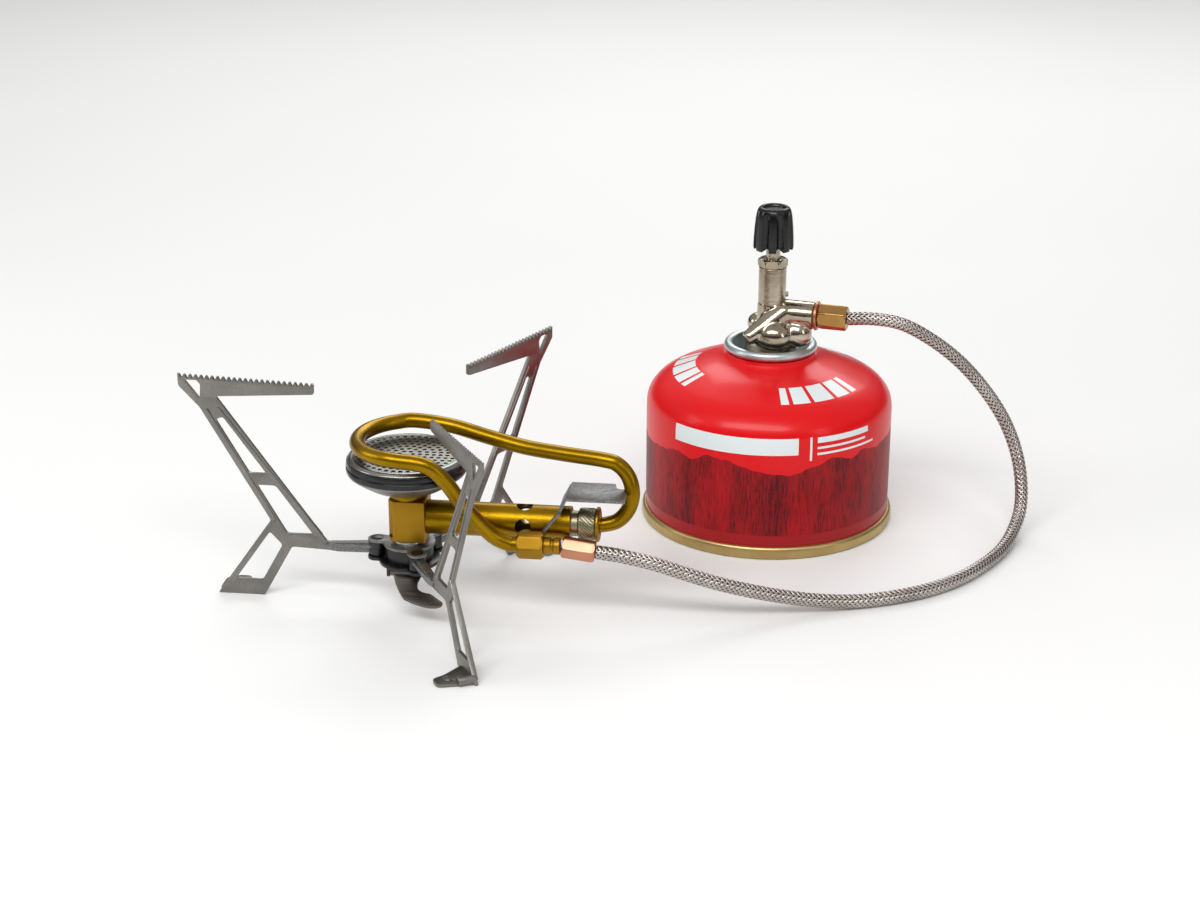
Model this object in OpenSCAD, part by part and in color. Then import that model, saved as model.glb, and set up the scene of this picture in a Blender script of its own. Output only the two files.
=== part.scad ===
// Canister stove on three folding legs, with a preheat tube round the burner,
// and a braided hose to a valve screwed on a low gas canister.
// +Z is up, the floor is z = 0, and +X runs along the mixing tube away from the fixed leg.

/* [Legs] */
// Hub axis to the outer tip of a pot support
leg_reach = 75; // [68:0.5:90]
// Height of the pot supports' tips above the floor
support_h = 77.4; // [70:0.2:93]
// Thickness of the leg plates
leg_t = 1.2; // [0.9:0.1:2]
// Width of the rails between a leg's windows
rail_w = 2.5; // [1.8:0.1:3.2]
// Hub axis to each leg's hinge pin
pivot_r = 11; // [10:0.1:13]
// Radius of the hinge pins
pin_r = 1.5; // [1:0.1:1.9]

/* [Burner] */
// Radius of the burner at its widest
burner_r = 19.8; // [16:0.2:20.2]
// Height of the burner's bowl, from neck to rim
bowl_h = 7; // [5.5:0.1:8.5]
// Outer radius of the mixing tube
mix_r = 5.6; // [4.8:0.1:5.9]
// Length of the mixing tube outside the block
mix_l = 47.5; // [38:0.5:48]

/* [Gas line] */
// Outer radius of the preheat tube
preheat_r = 2.5; // [1.8:0.1:2.8]
// Outer radius of the braided hose
hose_r = 2.4; // [1.8:0.1:3]

/* [Valve] */
// Outer radius of the valve's upright tube
valve_r = 4.8; // [4.2:0.1:5.8]
// Radius of the spindle
spindle_r = 2.5; // [2:0.1:3]
// Radius of the knob at its foot
knob_r = 7.1; // [6:0.1:8.5]

/* [Canister] */
// Radius of the canister's rim
can_r = 45; // [38:0.5:54]
// Height of the canister's straight wall
can_wall_h = 45; // [37:0.5:54]
// Thickness of the canister's sheet
can_t = 0.6; // [0.4:0.1:0.8]
// Radius of the canister's threaded stub, 7/16 inch across
stub_r = 5.55; // [5:0.05:6]

/* [Hidden] */
$fn = 64;
run = 0.05;      // radial clearance of a turning or sliding fit
gap = 0.3;       // space between parts that move past each other

// Places: the origin is below the middle of the object, on the floor.
hub_at = [-41.2, -36.6];
can_at = [71.4, 57.5];
outlet_turn = -11;       // direction of the valve's outlet about the canister's axis

// Hub, from the bottom up
cup_z = 16;
cup_t = 1;
eye_z = cup_z + cup_t + 0.2;
eye_h = 4.4;
plate_z = eye_z + eye_h + 0.2;
plate_t = 1;
washer_z = plate_z + plate_t;
washer_t = 1.6;
washer_r = 5.3;
block_z = washer_z + washer_t;
bolt_r = 2;
lobe_r = 3.2;
eye_r = 2.75;
cup_wall_r = pivot_r - eye_r - gap - 0.1;
side_step = 1.1;         // the leg plates stand this far clockwise of the hub's axis
leg_turns = [180, 60, -60];

// Leg outline, as distance from the hub axis and height
tip = [leg_reach, support_h];
arm_drop = 4;            // height of a pot support at its tip
kink = tip + [-6.7, -11.2];
armpit = tip + [-12.4, -7.3];
arm_in = 30;             // inner end of the pot support
arm_end_h = 3.7;
knee = [46.6, 27.3];
foot_out = 66;
foot_in = 50;
crotch = [39.8, 18.1];
bar_r = 24.8;
bar_low = 17.4;
bar_top = 20.5;
root_r = 27.8;           // where the inner rail meets the bar
brace_z = [39.7, 43.8];  // cross piece between the two windows of the strut
teeth = 24;
tooth_h = 1.2;
toe_l = 12.4;            // the foot's flat toe, sideways
toe_hole_r = 1.2;

// Lock lever
lever_r = 1.6;
lever_pin_r = 0.8;
lever_y = -5.3;
lever_z = 13.8;
lever_w = 10.6;
lever_lean = 56;
lever_t = 1.1;
lug_t = 1;

// Block and burner
block_h = 14.3;
block_x = [-5.7, 6.5];
block_y = 6;
chamfer = 1.8;
mix_z = block_z + 7.2;
mix_wall = 0.7;
air_hole_r = 2.7;
air_x = 38.7;
collar_r = 5.9;
neck_r = 4.2;
neck_bore = 3.2;
neck_z = block_z + block_h;
cup_sheet = 0.8;
bowl_z = neck_z + 2.3;
rim_z = bowl_z + bowl_h;
band_h = 5.5;
plate_r = burner_r - 3.2;
flame_z = rim_z + band_h - 1;
flame_t = 0.8;
port_r = 0.55;
port_rings = 6;
port_step = 2.5;

// Jet and preheat tube
mix_end = block_x[1] + mix_l;
holder_r = 5.15;
flange_r = 5.75;
flange_t = 1.3;
holder_end = mix_end + 8;
jet_r = 2;
tube_x = holder_end + 0.6;
bow_r = 10.7;            // radius of the tube's bow behind the jet
loop_r = 18.7;
loop_z = mix_z + 26.4;
loop_x = 3;
fit_z = 27.4;
fit_y = -9.6;
fit_x = 37.6;
fit_l = 8.6;
hex_r = 4.6;
fit_neck_r = 2.75;
ferrule_l = 10.8;
ferrule_r = 3.7;
ferrule_dip = 7;
ferrule_at = [fit_x + fit_l + 5.8, fit_y + 1, fit_z - 0.5];

// The preheat tube's route, from the jet round the burner and down to its fitting
function bow(a) = [tube_x + 1.5 + (bow_r - 1.2) * cos(a), 1.5 * (1 + sin(a)),
    mix_z + bow_r * (1 + sin(a))];
function loop(a) = [loop_x + loop_r * cos(a), loop_r * sin(a), loop_z];
preheat_route = concat(
    [[tube_x, 0, mix_z]], [for (a = [-90:30:90]) bow(a)],
    [[50, 6.5, 53.2], [37, 10.5, 53.4], [24, 14.2, 55.1], [12, 17.4, 57]],
    [for (a = [100:20:260]) loop(a)],
    [[10, -18.2, 56.5], [16.2, -16.6, 50.3], [20.5, -14.7, 42.8], [25.2, -12.6, 36],
     [30.2, -10.6, 30], [fit_x - 2.6, fit_y, fit_z], [fit_x - 0.7, fit_y, fit_z],
     [fit_x, fit_y, fit_z]]);

// The hose's route on the floor, from the burner's ferrule to the valve's
hose_route = [
    [21.7, -45.1, 25.5], [30, -44.8, 24.4], [40, -43.6, 21.8], [50, -41.6, 18], [60, -39, 14],
    [71, -35.5, 10.2], [83, -31.2, 6.6], [95, -27, 4], [107, -22.6, 2.6], [119, -17.2, 2.4],
    [130, -10, 2.4], [140, 0, 2.4], [148, 12, 2.4], [154.5, 25, 2.4], [159, 38, 3.6],
    [162, 49, 8.5], [162, 56, 17], [159.5, 59, 27.5], [154.5, 59.5, 38.8], [147, 58.5, 50],
    [137.8, 56.5, 60.5], [127.5, 54, 69], [117, 51.8, 75], [107, 50.8, 76.8], [98.3, 52.3, 76]];

// Valve, about the canister's axis
collar_r0 = 14.8;        // middle of the collar's rolled edge
collar_edge = 1.7;
collar_z = can_wall_h + 18.8;
cup_floor = can_wall_h + 12;
stub_top = can_wall_h + 21;
seat_r = 10.4;
seat_z = stub_top - 7;
seat_top = stub_top + 0.4;
outlet_z = stub_top + 10;
outlet_r = 4.5;
outlet_l = 15.8;
nut_x = 17;
nut_l = 10.2;
nut_r = 4.6;
body_top = outlet_z + outlet_r + 0.1;
tube_top = stub_top + 24.5;
nut_top = tube_top + 5;
gland_r = 5.3;
spindle_low = stub_top + 6;
spindle_top = nut_top + 14.5;
knob_z = nut_top + 3.5;
knob_top = knob_z + 15;
knob_flutes = 8;
gas_pin_r = 0.8;
stem_r = 1.6;
stub_bore = 3.2;

// Smooth route through points, n steps between each pair
function spline(a, b, c, d, t) = 0.5 * (2 * b + (c - a) * t
    + (2 * a - 5 * b + 4 * c - d) * t * t + (3 * b - a - 3 * c + d) * t * t * t);
function smooth(p, n) = let (m = len(p) - 1) concat(
    [for (i = [0:m - 1], k = [0:n - 1])
        spline(i > 0 ? p[i - 1] : 2 * p[0] - p[1], p[i], p[i + 1],
            i < m - 1 ? p[i + 2] : 2 * p[m] - p[m - 1], k / n)], [p[m]]);
function unit(v) = v / norm(v);

// The direction on the left of a line, and the line's point at a height
function left_of(d) = [-d[1], d[0]] / norm(d);
function at_height(p, d, z) = p + d * (z - p[1]) / d[1];

module at_hub() { translate([hub_at[0], hub_at[1], 0]) children(); }
module at_can() { translate([can_at[0], can_at[1], 0]) children(); }
module at_pivots() {
    for (a = leg_turns) rotate(a) translate([pivot_r, -side_step, 0]) children();
}

// Round tube swept along points, with flat ends square to the route
module tube_along(pts, r, sides, ref) {
    last = len(pts) - 1;
    function along(i) = unit(pts[min(i + 1, last)] - pts[max(i - 1, 0)]);
    rings = [for (i = [0:last]) let (t = along(i), u = unit(cross(t, ref)), v = cross(t, u))
        for (k = [0:sides - 1]) pts[i] + r * (cos(360 * k / sides) * u + sin(360 * k / sides) * v)];
    walls = [for (i = [0:last - 1], k = [0:sides - 1]) let (j = (k + 1) % sides)
        [i * sides + k, (i + 1) * sides + k, (i + 1) * sides + j, i * sides + j]];
    polyhedron(rings, concat([[for (k = [0:sides - 1]) k]], walls,
        [[for (k = [sides - 1:-1:0]) last * sides + k]]), 4);
}

module ring(r, bore, h) {
    difference() {
        cylinder(r = r, h = h);
        translate([0, 0, -1]) cylinder(r = bore, h = h + 2);
    }
}

// ---------------------------------------------------------------- hub and legs

// Three-lobed outline of the hub's sheets
module hub_outline() {
    circle(cup_wall_r);
    for (a = leg_turns) rotate(a) {
        translate([0, -side_step - lobe_r]) square([pivot_r, 2 * lobe_r]);
        translate([pivot_r, -side_step]) circle(lobe_r);
    }
}

module hub_sheet(z, t) {
    difference() {
        translate([0, 0, z]) linear_extrude(t) hub_outline();
        translate([0, 0, z - 1]) cylinder(r = bolt_r, h = t + 2);
        at_pivots() translate([0, 0, z - 1]) cylinder(r = pin_r, h = t + 2);
    }
}

module hub_plate() { color("silver") at_hub() hub_sheet(plate_z, plate_t); }

// Pressed cup under the legs, with a round wall between the eyes and two lugs for the lever
module hub_cup() {
    color("dimgray") at_hub() {
        hub_sheet(cup_z, cup_t);
        translate([0, 0, cup_z + cup_t])
            ring(cup_wall_r, cup_wall_r - 1.1, plate_z - cup_z - cup_t);
        for (s = [-1, 1]) difference() {
            translate([s * (lever_w / 2 + 0.2 + lug_t / 2) - lug_t / 2, lever_y - lever_r,
                lever_z - lever_r]) cube([lug_t, 2 * lever_r, cup_z - lever_z + lever_r]);
            translate([-lever_w, lever_y, lever_z]) rotate([0, 90, 0])
                cylinder(r = lever_pin_r, h = 2 * lever_w);
        }
    }
}

module hub_washer() {
    color("whitesmoke") at_hub() translate([0, 0, washer_z]) ring(washer_r, bolt_r, washer_t);
}

module hub_bolt() {
    color("silver") at_hub() {
        translate([0, 0, cup_z - 2.4]) cylinder(r = 2.9, h = 2.4, $fn = 6);
        translate([0, 0, cup_z - 1]) cylinder(r = bolt_r, h = block_z + 2 - cup_z + 1);
    }
}

module leg_rivets() {
    color("darkgray") at_hub() at_pivots() {
        translate([0, 0, cup_z - 0.7]) cylinder(r = pin_r + 0.9, h = 0.7);
        translate([0, 0, cup_z - 0.7]) cylinder(r = pin_r, h = washer_z - cup_z + 1.4);
        translate([0, 0, washer_z]) cylinder(r = pin_r + 0.9, h = 0.7);
    }
}

// Outline of a leg plate, from the hinge eye round the foot and the pot support
module leg_outline() {
    polygon([
        [pivot_r, eye_z], [bar_r, bar_low], crotch, [foot_in, 0], [foot_out, 0], knee, kink,
        tip - [0, arm_drop], tip, [arm_in, support_h - 1.7],
        [arm_in, support_h - 1.7 - arm_end_h], armpit, [root_r, bar_top],
        [bar_r, bar_top], [pivot_r, eye_z + eye_h]]);
}

module leg_windows() {
    inner = armpit - [root_r, bar_top];
    outer = kink - knee;
    in_p = [root_r, bar_top] - rail_w * left_of(inner);
    out_p = knee + rail_w * left_of(outer);
    top_z = armpit[1] - 7;
    low_z = bar_top + 2.3;
    polygon([at_height(in_p, inner, brace_z[1]), at_height(out_p, outer, brace_z[1]),
        at_height(out_p, outer, top_z - 1), at_height(in_p, inner, top_z)]);
    polygon([at_height(in_p, inner, low_z), at_height(out_p, outer, low_z),
        at_height(out_p, outer, brace_z[0]), at_height(in_p, inner, brace_z[0])]);
    shin = [foot_out, 0] - knee;
    calf = [foot_in, 0] - crotch;
    shin_p = knee + 0.8 * rail_w * -left_of(shin);
    calf_p = crotch + 1.25 * rail_w * left_of(calf);
    polygon([at_height(calf_p, calf, 5.4), at_height(shin_p, shin, 5.8),
        at_height(shin_p, shin, crotch[1] + 5), at_height(calf_p, calf, crotch[1] + 0.5)]);
    polygon([tip - [2.2, 2], tip - [6.2, 2], tip - [7.4, 3.4], tip - [7, 8.2]]);
}

module leg_teeth() {
    pitch = (leg_reach - 1 - arm_in) / teeth;
    rise = 1.7 / (leg_reach - arm_in);
    for (i = [0:teeth - 1]) let (r = arm_in + 0.8 + i * pitch,
        z = support_h - 1.7 + rise * (r - arm_in))
        polygon([[r, z + 0.2], [r + 0.35 * pitch, z - tooth_h], [r + 0.75 * pitch, z + 0.2]]);
}

// Flat toe at the foot, turned sideways from the plate
module leg_toe() {
    mid = foot_out - 6;
    linear_extrude(leg_t) difference() {
        union() {
            polygon([[foot_in + 1.6, 0], [foot_out - 0.6, 0], [mid + 2.6, -toe_l + 2.6],
                [mid - 2.6, -toe_l + 2.6]]);
            translate([mid, -toe_l + 2.6]) circle(2.6);
        }
        translate([mid - 0.5, -toe_l + 5]) circle(toe_hole_r);
    }
}

module leg(turn) {
    color("gray") at_hub() rotate(turn) translate([0, -side_step, 0]) difference() {
        union() {
            rotate([90, 0, 0]) translate([0, 0, -leg_t / 2]) linear_extrude(leg_t)
                difference() {
                    leg_outline();
                    leg_windows();
                    leg_teeth();
                }
            leg_toe();
            translate([pivot_r, 0, eye_z]) cylinder(r = eye_r, h = eye_h);
        }
        translate([pivot_r, 0, 0]) cylinder(r = pin_r + run, h = eye_z + eye_h + 1);
    }
}

module leg_left() { leg(leg_turns[0]); }
module leg_back() { leg(leg_turns[1]); }
module leg_front() { leg(leg_turns[2]); }

// Curved leaf that hangs from its pin under the cup
module lock_lever() {
    color([0.35, 0.31, 0.29]) at_hub() translate([0, lever_y, lever_z]) difference() {
        union() {
            rotate([0, 90, 0]) translate([0, 0, -lever_w / 2])
                cylinder(r = lever_r, h = lever_w);
            rotate([-lever_lean, 0, 0]) rotate([90, 0, 0]) translate([0, 0, -lever_t / 2])
                linear_extrude(lever_t)
                    polygon([[-5.3, 0], [5.3, 0], [5.1, -1.8], [4.4, -3], [4.1, -4.5], [4.4, -6],
                        [5.4, -7.3], [7.2, -8], [9.4, -8.3], [14, -12], [13.4, -13.5],
                        [11.4, -14.2], [8.6, -14.1], [4.4, -12.8], [0.4, -10.9], [-1.6, -7.8],
                        [-3.3, -4.4]]);
        }
        translate([-lever_w, 0, 0]) rotate([0, 90, 0])
            cylinder(r = lever_pin_r + run, h = 2 * lever_w);
    }
}

module lever_pin() {
    half = lever_w / 2 + 0.2 + lug_t;
    color("silver") at_hub() translate([-half, lever_y, lever_z]) rotate([0, 90, 0])
        cylinder(r = lever_pin_r, h = 2 * half);
}

// ---------------------------------------------------------------- block and burner

module elbow_block() {
    color("goldenrod") at_hub() difference() {
        translate([0, 0, block_z]) linear_extrude(block_h) polygon([
            [block_x[0], block_y], [block_x[0], chamfer - block_y],
            [block_x[0] + chamfer, -block_y], [block_x[1], -block_y], [block_x[1], block_y]]);
        translate([0, 0, block_z - 1]) cylinder(r = bolt_r, h = 3);
        translate([-1, 0, mix_z]) rotate([0, 90, 0])
            cylinder(r = mix_r - mix_wall, h = block_x[1] + 2);
        translate([0, 0, mix_z]) cylinder(r = neck_bore, h = block_h);
    }
}

module burner_neck() {
    color("goldenrod") at_hub() translate([0, 0, neck_z]) {
        ring(collar_r, neck_bore, 1.6);
        translate([0, 0, 1.6]) ring(neck_r, neck_bore, bowl_z - neck_z - 1.6 + cup_sheet);
    }
}

// Pressed bowl that spreads the gas under the flame plate
module burner_cup() {
    color("gray") at_hub() rotate_extrude($fn = 96) polygon([
        [neck_r, bowl_z], [burner_r * 0.42, bowl_z + 0.6], [burner_r * 0.72, bowl_z + bowl_h * 0.47],
        [burner_r - 0.4, rim_z], [burner_r - 1.4, rim_z],
        [burner_r * 0.72 - 0.6, bowl_z + bowl_h * 0.47 + cup_sheet],
        [burner_r * 0.42 - 0.2, bowl_z + 0.6 + cup_sheet], [neck_r, bowl_z + cup_sheet]]);
}

module burner_band() {
    color("dimgray") at_hub() rotate_extrude($fn = 96) polygon([
        [burner_r - 1.4, rim_z], [burner_r - 0.4, rim_z], [burner_r, rim_z + 0.7],
        [burner_r - 0.3, rim_z + 2.6], [burner_r - 0.8, rim_z + 2.9],
        [burner_r - 0.5, rim_z + 3.2], [burner_r - 1.9, rim_z + band_h],
        [plate_r, rim_z + band_h], [plate_r, flame_z], [plate_r + 0.6, flame_z],
        [plate_r + 0.6, rim_z + 2]]);
}

// Fine mesh under the flame plate that stops the flame striking back
module burner_gauze() {
    color("dimgray") at_hub() translate([0, 0, flame_z - 0.5])
        cylinder(r = plate_r + 0.6, h = 0.5);
}

module flame_plate() {
    color("darkgray") at_hub() translate([0, 0, flame_z]) difference() {
        cylinder(r = plate_r, h = flame_t);
        for (i = [1:port_rings], k = [0:6 * i - 1]) if (i * port_step < plate_r - 1)
            rotate(360 * k / (6 * i)) translate([i * port_step, 0, -1])
                cylinder(r = port_r, h = flame_t + 2, $fn = 6);
    }
}

module mixing_tube() {
    color("goldenrod") at_hub() translate([block_x[1], 0, mix_z]) rotate([0, 90, 0])
        difference() {
            ring(mix_r, mix_r - mix_wall, mix_l);
            translate([0, 0, air_x - block_x[1]]) for (a = [0, 90]) rotate([0, 90, a])
                translate([0, 0, -mix_r - 1]) cylinder(r = air_hole_r, h = 2 * mix_r + 2);
        }
}

// Knurled holder that plugs into the tube's end and carries the jet
module jet_holder() {
    color("darkkhaki") at_hub() translate([mix_end, 0, mix_z]) rotate([0, 90, 0]) {
        translate([0, 0, -3]) ring(mix_r - mix_wall, jet_r, 3);
        ring(mix_r - mix_wall - 0.7, jet_r, 2.5);
        translate([0, 0, 2.5]) ring(holder_r, jet_r, 5.5);
    }
}

module jet() {
    color("gold") at_hub() translate([mix_end - 6, 0, mix_z]) rotate([0, 90, 0]) difference() {
        union() {
            cylinder(r = jet_r, h = holder_end - mix_end + 6);
            translate([0, 0, 0.5]) cylinder(r = jet_r + 0.8, h = 2);
        }
        translate([0, 0, -1]) cylinder(r = 0.2, h = 3);
        translate([0, 0, 1.5]) cylinder(r = 1, h = 20);
    }
}

module jet_flange() {
    color("gold") at_hub() translate([holder_end, 0, mix_z]) rotate([0, 90, 0]) difference() {
        cylinder(r = flange_r, h = flange_t);
        translate([0, 0, -1]) cylinder(r = 1, h = 2);
        translate([0, 0, 0.2]) cylinder(r = preheat_r + gap, h = flange_t);
    }
}

module preheat_tube() {
    color("goldenrod") at_hub()
        tube_along(smooth(preheat_route, 3), preheat_r, 12, [0.3, 0.75, 0.6]);
}

// Sheet bracket over the jet: its notch steadies the tube's bow, its strip stands on the fitting
module tube_bracket() {
    shelf_z = mix_z + 10.8;
    shelf = [mix_end - 1, tube_x + bow_r - 1];
    foot = [fit_x + fit_l - 1.2, fit_z + hex_r - 0.4];
    slope = [mix_end - 3.2, mix_z + mix_r + 0.8];
    t = 0.9;
    color("lightgray") at_hub() difference() {
        union() {
            translate([shelf[0], -8, shelf_z]) cube([shelf[1] - shelf[0], 15, t]);
            rotate([90, 0, 0]) translate([0, 0, -7]) linear_extrude(15) polygon([
                [shelf[0], shelf_z], [shelf[0] + t, shelf_z], [shelf[0], shelf_z + t],
                [shelf[0] - t, shelf_z + t], slope, slope + [t, 0]]);
            rotate([90, 0, 0]) translate([0, 0, mix_r + 0.4]) linear_extrude(2.6) polygon([
                foot, foot + [1.2, 0], slope + [t, 0], slope]);
        }
        translate([tube_x + bow_r + 0.3, 1.5, 0]) cylinder(r = preheat_r + 0.2, h = shelf_z + 5);
        translate([tube_x + bow_r - 3.5, 4.2, 0]) cylinder(r = 2, h = shelf_z + 5);
    }
}

// ---------------------------------------------------------------- gas line

module hexagon(r, bore, l) {
    rotate([0, 90, 0]) difference() {
        cylinder(r = r, h = l, $fn = 6);
        translate([0, 0, -1]) cylinder(r = bore, h = l + 2);
    }
}

module tube_fitting() {
    color("goldenrod") at_hub() translate([fit_x, fit_y, fit_z]) hexagon(hex_r, 1, fit_l);
}

module fitting_neck() {
    color("goldenrod") at_hub() translate([fit_x + fit_l, fit_y, fit_z]) rotate([0, 90, 0])
        ring(fit_neck_r, 1, 5.4);
}

module burner_ferrule() {
    color([0.75, 0.5, 0.36]) at_hub() translate(ferrule_at)
        rotate([0, ferrule_dip, 0]) hexagon(ferrule_r, 1, ferrule_l);
}

module hose() {
    color("lightgray") tube_along(hose_route, hose_r, 10, unit([0.5, -0.8, -0.35]));
}

// ---------------------------------------------------------------- valve

module along_outlet(x) {
    at_can() rotate(outlet_turn) translate([x, 0, outlet_z]) children();
}

module valve_ferrule() {
    color([0.72, 0.55, 0.31]) along_outlet(nut_x) hexagon(nut_r, 1, nut_l);
}

module outlet_washer() {
    color([0.8, 0.55, 0.33]) along_outlet(outlet_l) rotate([0, 90, 0])
        ring(outlet_r + 0.6, 1, nut_x - outlet_l);
}

// Cast body: a foot that screws on the canister's stub, a block above it and the outlet
module valve_body() {
    color([0.75, 0.73, 0.68]) difference() {
        union() {
            at_can() {
                translate([0, 0, seat_z]) cylinder(r = seat_r, h = seat_top - seat_z);
                translate([0, 0, seat_top]) cylinder(r = 8, h = 3);
                translate([0, 0, seat_top]) cylinder(r = valve_r + 1.4, h = body_top - seat_top);
                for (a = [outlet_turn - 4, 112, 232]) rotate(a)
                    rotate([90, 0, 0]) translate([0, 0, -3.4]) linear_extrude(6.8) polygon([
                        [0, seat_top], [14.6, seat_top + 0.2], [13.4, seat_top + 3.2],
                        [7, seat_top + 9], [0, seat_top + 9]]);
            }
            along_outlet(0) rotate([0, 90, 0]) cylinder(r = outlet_r, h = outlet_l);
        }
        at_can() {
            translate([0, 0, seat_z - 1]) cylinder(r = stub_r + run, h = stub_top - seat_z + 1.8);
            cylinder(r = gas_pin_r, h = spindle_low);
            translate([0, 0, spindle_low - 0.5]) cylinder(r = spindle_r + run, h = 20);
        }
        along_outlet(0) rotate([0, 90, 0]) cylinder(r = 1, h = outlet_l + 1);
    }
}

module valve_tube() {
    color([0.75, 0.73, 0.68]) at_can() {
        translate([0, 0, body_top]) ring(valve_r, spindle_r + run, tube_top - body_top);
        rotate(20) translate([valve_r - 0.4, -1.1, body_top]) cube([1.4, 2.2, 3]);
    }
}

module gland_nut() {
    color("silver") at_can() translate([0, 0, tube_top]) difference() {
        cylinder(r = gland_r, h = nut_top - tube_top, $fn = 6);
        translate([0, 0, -1]) cylinder(r = spindle_r + run, h = 2);
        cylinder(r = spindle_r + 1, h = 2.5);
        translate([0, 0, 2]) cylinder(r = spindle_r + run, h = 10);
    }
}

module spindle_packing() {
    color("black") at_can() translate([0, 0, tube_top])
        ring(spindle_r + 1, spindle_r + run, 2.5);
}

// Spindle with its needle point, and the knob on top of it
module spindle() {
    color("silver") at_can() {
        translate([0, 0, spindle_low + 2]) cylinder(r = spindle_r, h = spindle_top - spindle_low - 2);
        translate([0, 0, spindle_low]) cylinder(r1 = 0.5, r2 = 1.4, h = 2);
    }
}

module control_knob() {
    knob_h = knob_top - knob_z;
    color([0.08, 0.08, 0.09]) at_can() difference() {
        translate([0, 0, knob_z]) cylinder(r1 = knob_r, r2 = knob_r - 1.3, h = knob_h);
        translate([0, 0, knob_top - 1]) cylinder(r = knob_r - 3.2, h = 2);
        translate([0, 0, knob_z - 1]) cylinder(r = spindle_r + run, h = spindle_top + 1.2 - knob_z);
        for (k = [0:knob_flutes - 1]) rotate(360 * (k + 0.5) / knob_flutes)
            translate([knob_r + 1.3, 0, knob_z - 1]) rotate([0, -5, 0])
                cylinder(r = 2, h = knob_h + 3);
    }
}

// Pin that opens the canister's stem, and the rubber ring that seals on its stub
module valve_pin() {
    color("silver") at_can() translate([0, 0, stub_top - 0.6])
        cylinder(r = gas_pin_r, h = spindle_low - 0.5 - stub_top + 0.6);
}

module valve_seal() {
    color("black") at_can() translate([0, 0, stub_top + 0.2])
        ring(stub_r + run, gas_pin_r, 0.6);
}

// ---------------------------------------------------------------- canister

module canister_shell() {
    r = can_r - 1.3;
    z = can_wall_h - 1;
    neck = can_wall_h + 17;
    c = collar_r0 + 1;
    t = can_t;
    color("red") at_can() rotate_extrude($fn = 128) polygon([
        [r, 2.6], [r, z], [r - 0.8, z + 2], [r - 3.7, z + 6.2], [r - 10.7, z + 10.1],
        [r - 17.7, z + 12.8], [c + 2, z + 15.2], [c, z + 16.2], [c, neck], [c - 2, neck],
        [c - 2, neck - t], [c - t, neck - t], [c - t, z + 16 - t], [c + 1.8, z + 15.2 - t],
        [r - 17.9, z + 12.8 - t], [r - 10.9, z + 10.1 - t], [r - 4.2, z + 6], [r - 0.8 - t, z + 1.8],
        [r - t, z], [r - t, 2.6]]);
}

// Domed base with the double seam that stands on the floor
module canister_base() {
    r = can_r - 1.3;
    color("khaki") at_can() rotate_extrude($fn = 128) polygon([
        [r - 0.5, 0], [r + 0.6, 0], [can_r - 0.1, 0.5], [can_r, 1.2], [can_r, 3.6],
        [can_r - 0.4, 4.4], [r, 4.6], [r, 2.6], [r - can_t, 2.6],
        [r - 1.2, 4], [r * 0.7, 6.8], [r * 0.35, 8.4], [0, 9],
        [0, 8.3], [r * 0.35, 7.7], [r * 0.7, 6.1], [r - 1.8, 3.4], [r - 1.2, 0.4]]);
}

// Rolled collar and mounting cup that hold the canister's valve
module canister_collar() {
    color("lightslategray") at_can() union() {
        rotate_extrude($fn = 96) translate([collar_r0, collar_z]) circle(collar_edge);
        rotate_extrude($fn = 96) polygon([
            [collar_r0 - 1, collar_z], [collar_r0 - 1.2, collar_z - 1], [collar_r0 - 3, cup_floor],
            [stub_r, cup_floor], [stub_r, cup_floor + can_t],
            [collar_r0 - 3.5, cup_floor + can_t], [collar_r0 - 2.1, collar_z]]);
    }
}

module canister_stub() {
    color("silver") at_can() difference() {
        union() {
            translate([0, 0, cup_floor - 2]) cylinder(r = stub_r, h = stub_top - cup_floor + 2);
            translate([0, 0, cup_floor - 2]) cylinder(r = stub_r + 1.5, h = 2);
        }
        translate([0, 0, cup_floor - 1]) cylinder(r = stub_bore, h = stub_top - cup_floor - 1);
        translate([0, 0, cup_floor]) cylinder(r = stem_r + run, h = 20);
    }
}

module stub_gasket() {
    color("black") at_can() translate([0, 0, stub_top - 3])
        ring(stub_bore - run, stem_r, 0.8);
}

module canister_stem() {
    color("white") at_can() {
        translate([0, 0, cup_floor - 0.6]) cylinder(r = stem_r - 0.5, h = 3.2);
        translate([0, 0, cup_floor + 2.6]) cylinder(r = stem_r, h = stub_top - cup_floor - 3.4);
    }
}

module stem_spring() {
    color("silver") at_can() translate([0, 0, cup_floor - 0.8])
        ring(stub_bore - 0.2, stem_r + 0.3, 6.2);
}

hub_plate();
hub_cup();
hub_washer();
hub_bolt();
leg_rivets();
leg_left();
leg_back();
leg_front();
lock_lever();
lever_pin();
elbow_block();
burner_neck();
burner_cup();
burner_band();
burner_gauze();
flame_plate();
mixing_tube();
jet_holder();
jet();
jet_flange();
preheat_tube();
tube_bracket();
tube_fitting();
fitting_neck();
burner_ferrule();
hose();
valve_ferrule();
outlet_washer();
valve_body();
valve_tube();
gland_nut();
spindle_packing();
spindle();
control_knob();
valve_pin();
valve_seal();
canister_shell();
canister_base();
canister_collar();
canister_stub();
stub_gasket();
canister_stem();
stem_spring();
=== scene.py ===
# %% [markdown]
# # A canister stove, piece by piece
# The stove stands on three cut-steel legs. A gold tube loops over the burner, and a braided hose feeds it
# from a valve on a red gas canister. The engineering model fixes every place and every joint, so this
# lesson only dresses it: it loads that model as a frame and builds a finer piece over each plain one.

# %% Load the frame
import math

import bmesh
import bpy
from mathutils import Matrix, Vector


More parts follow.
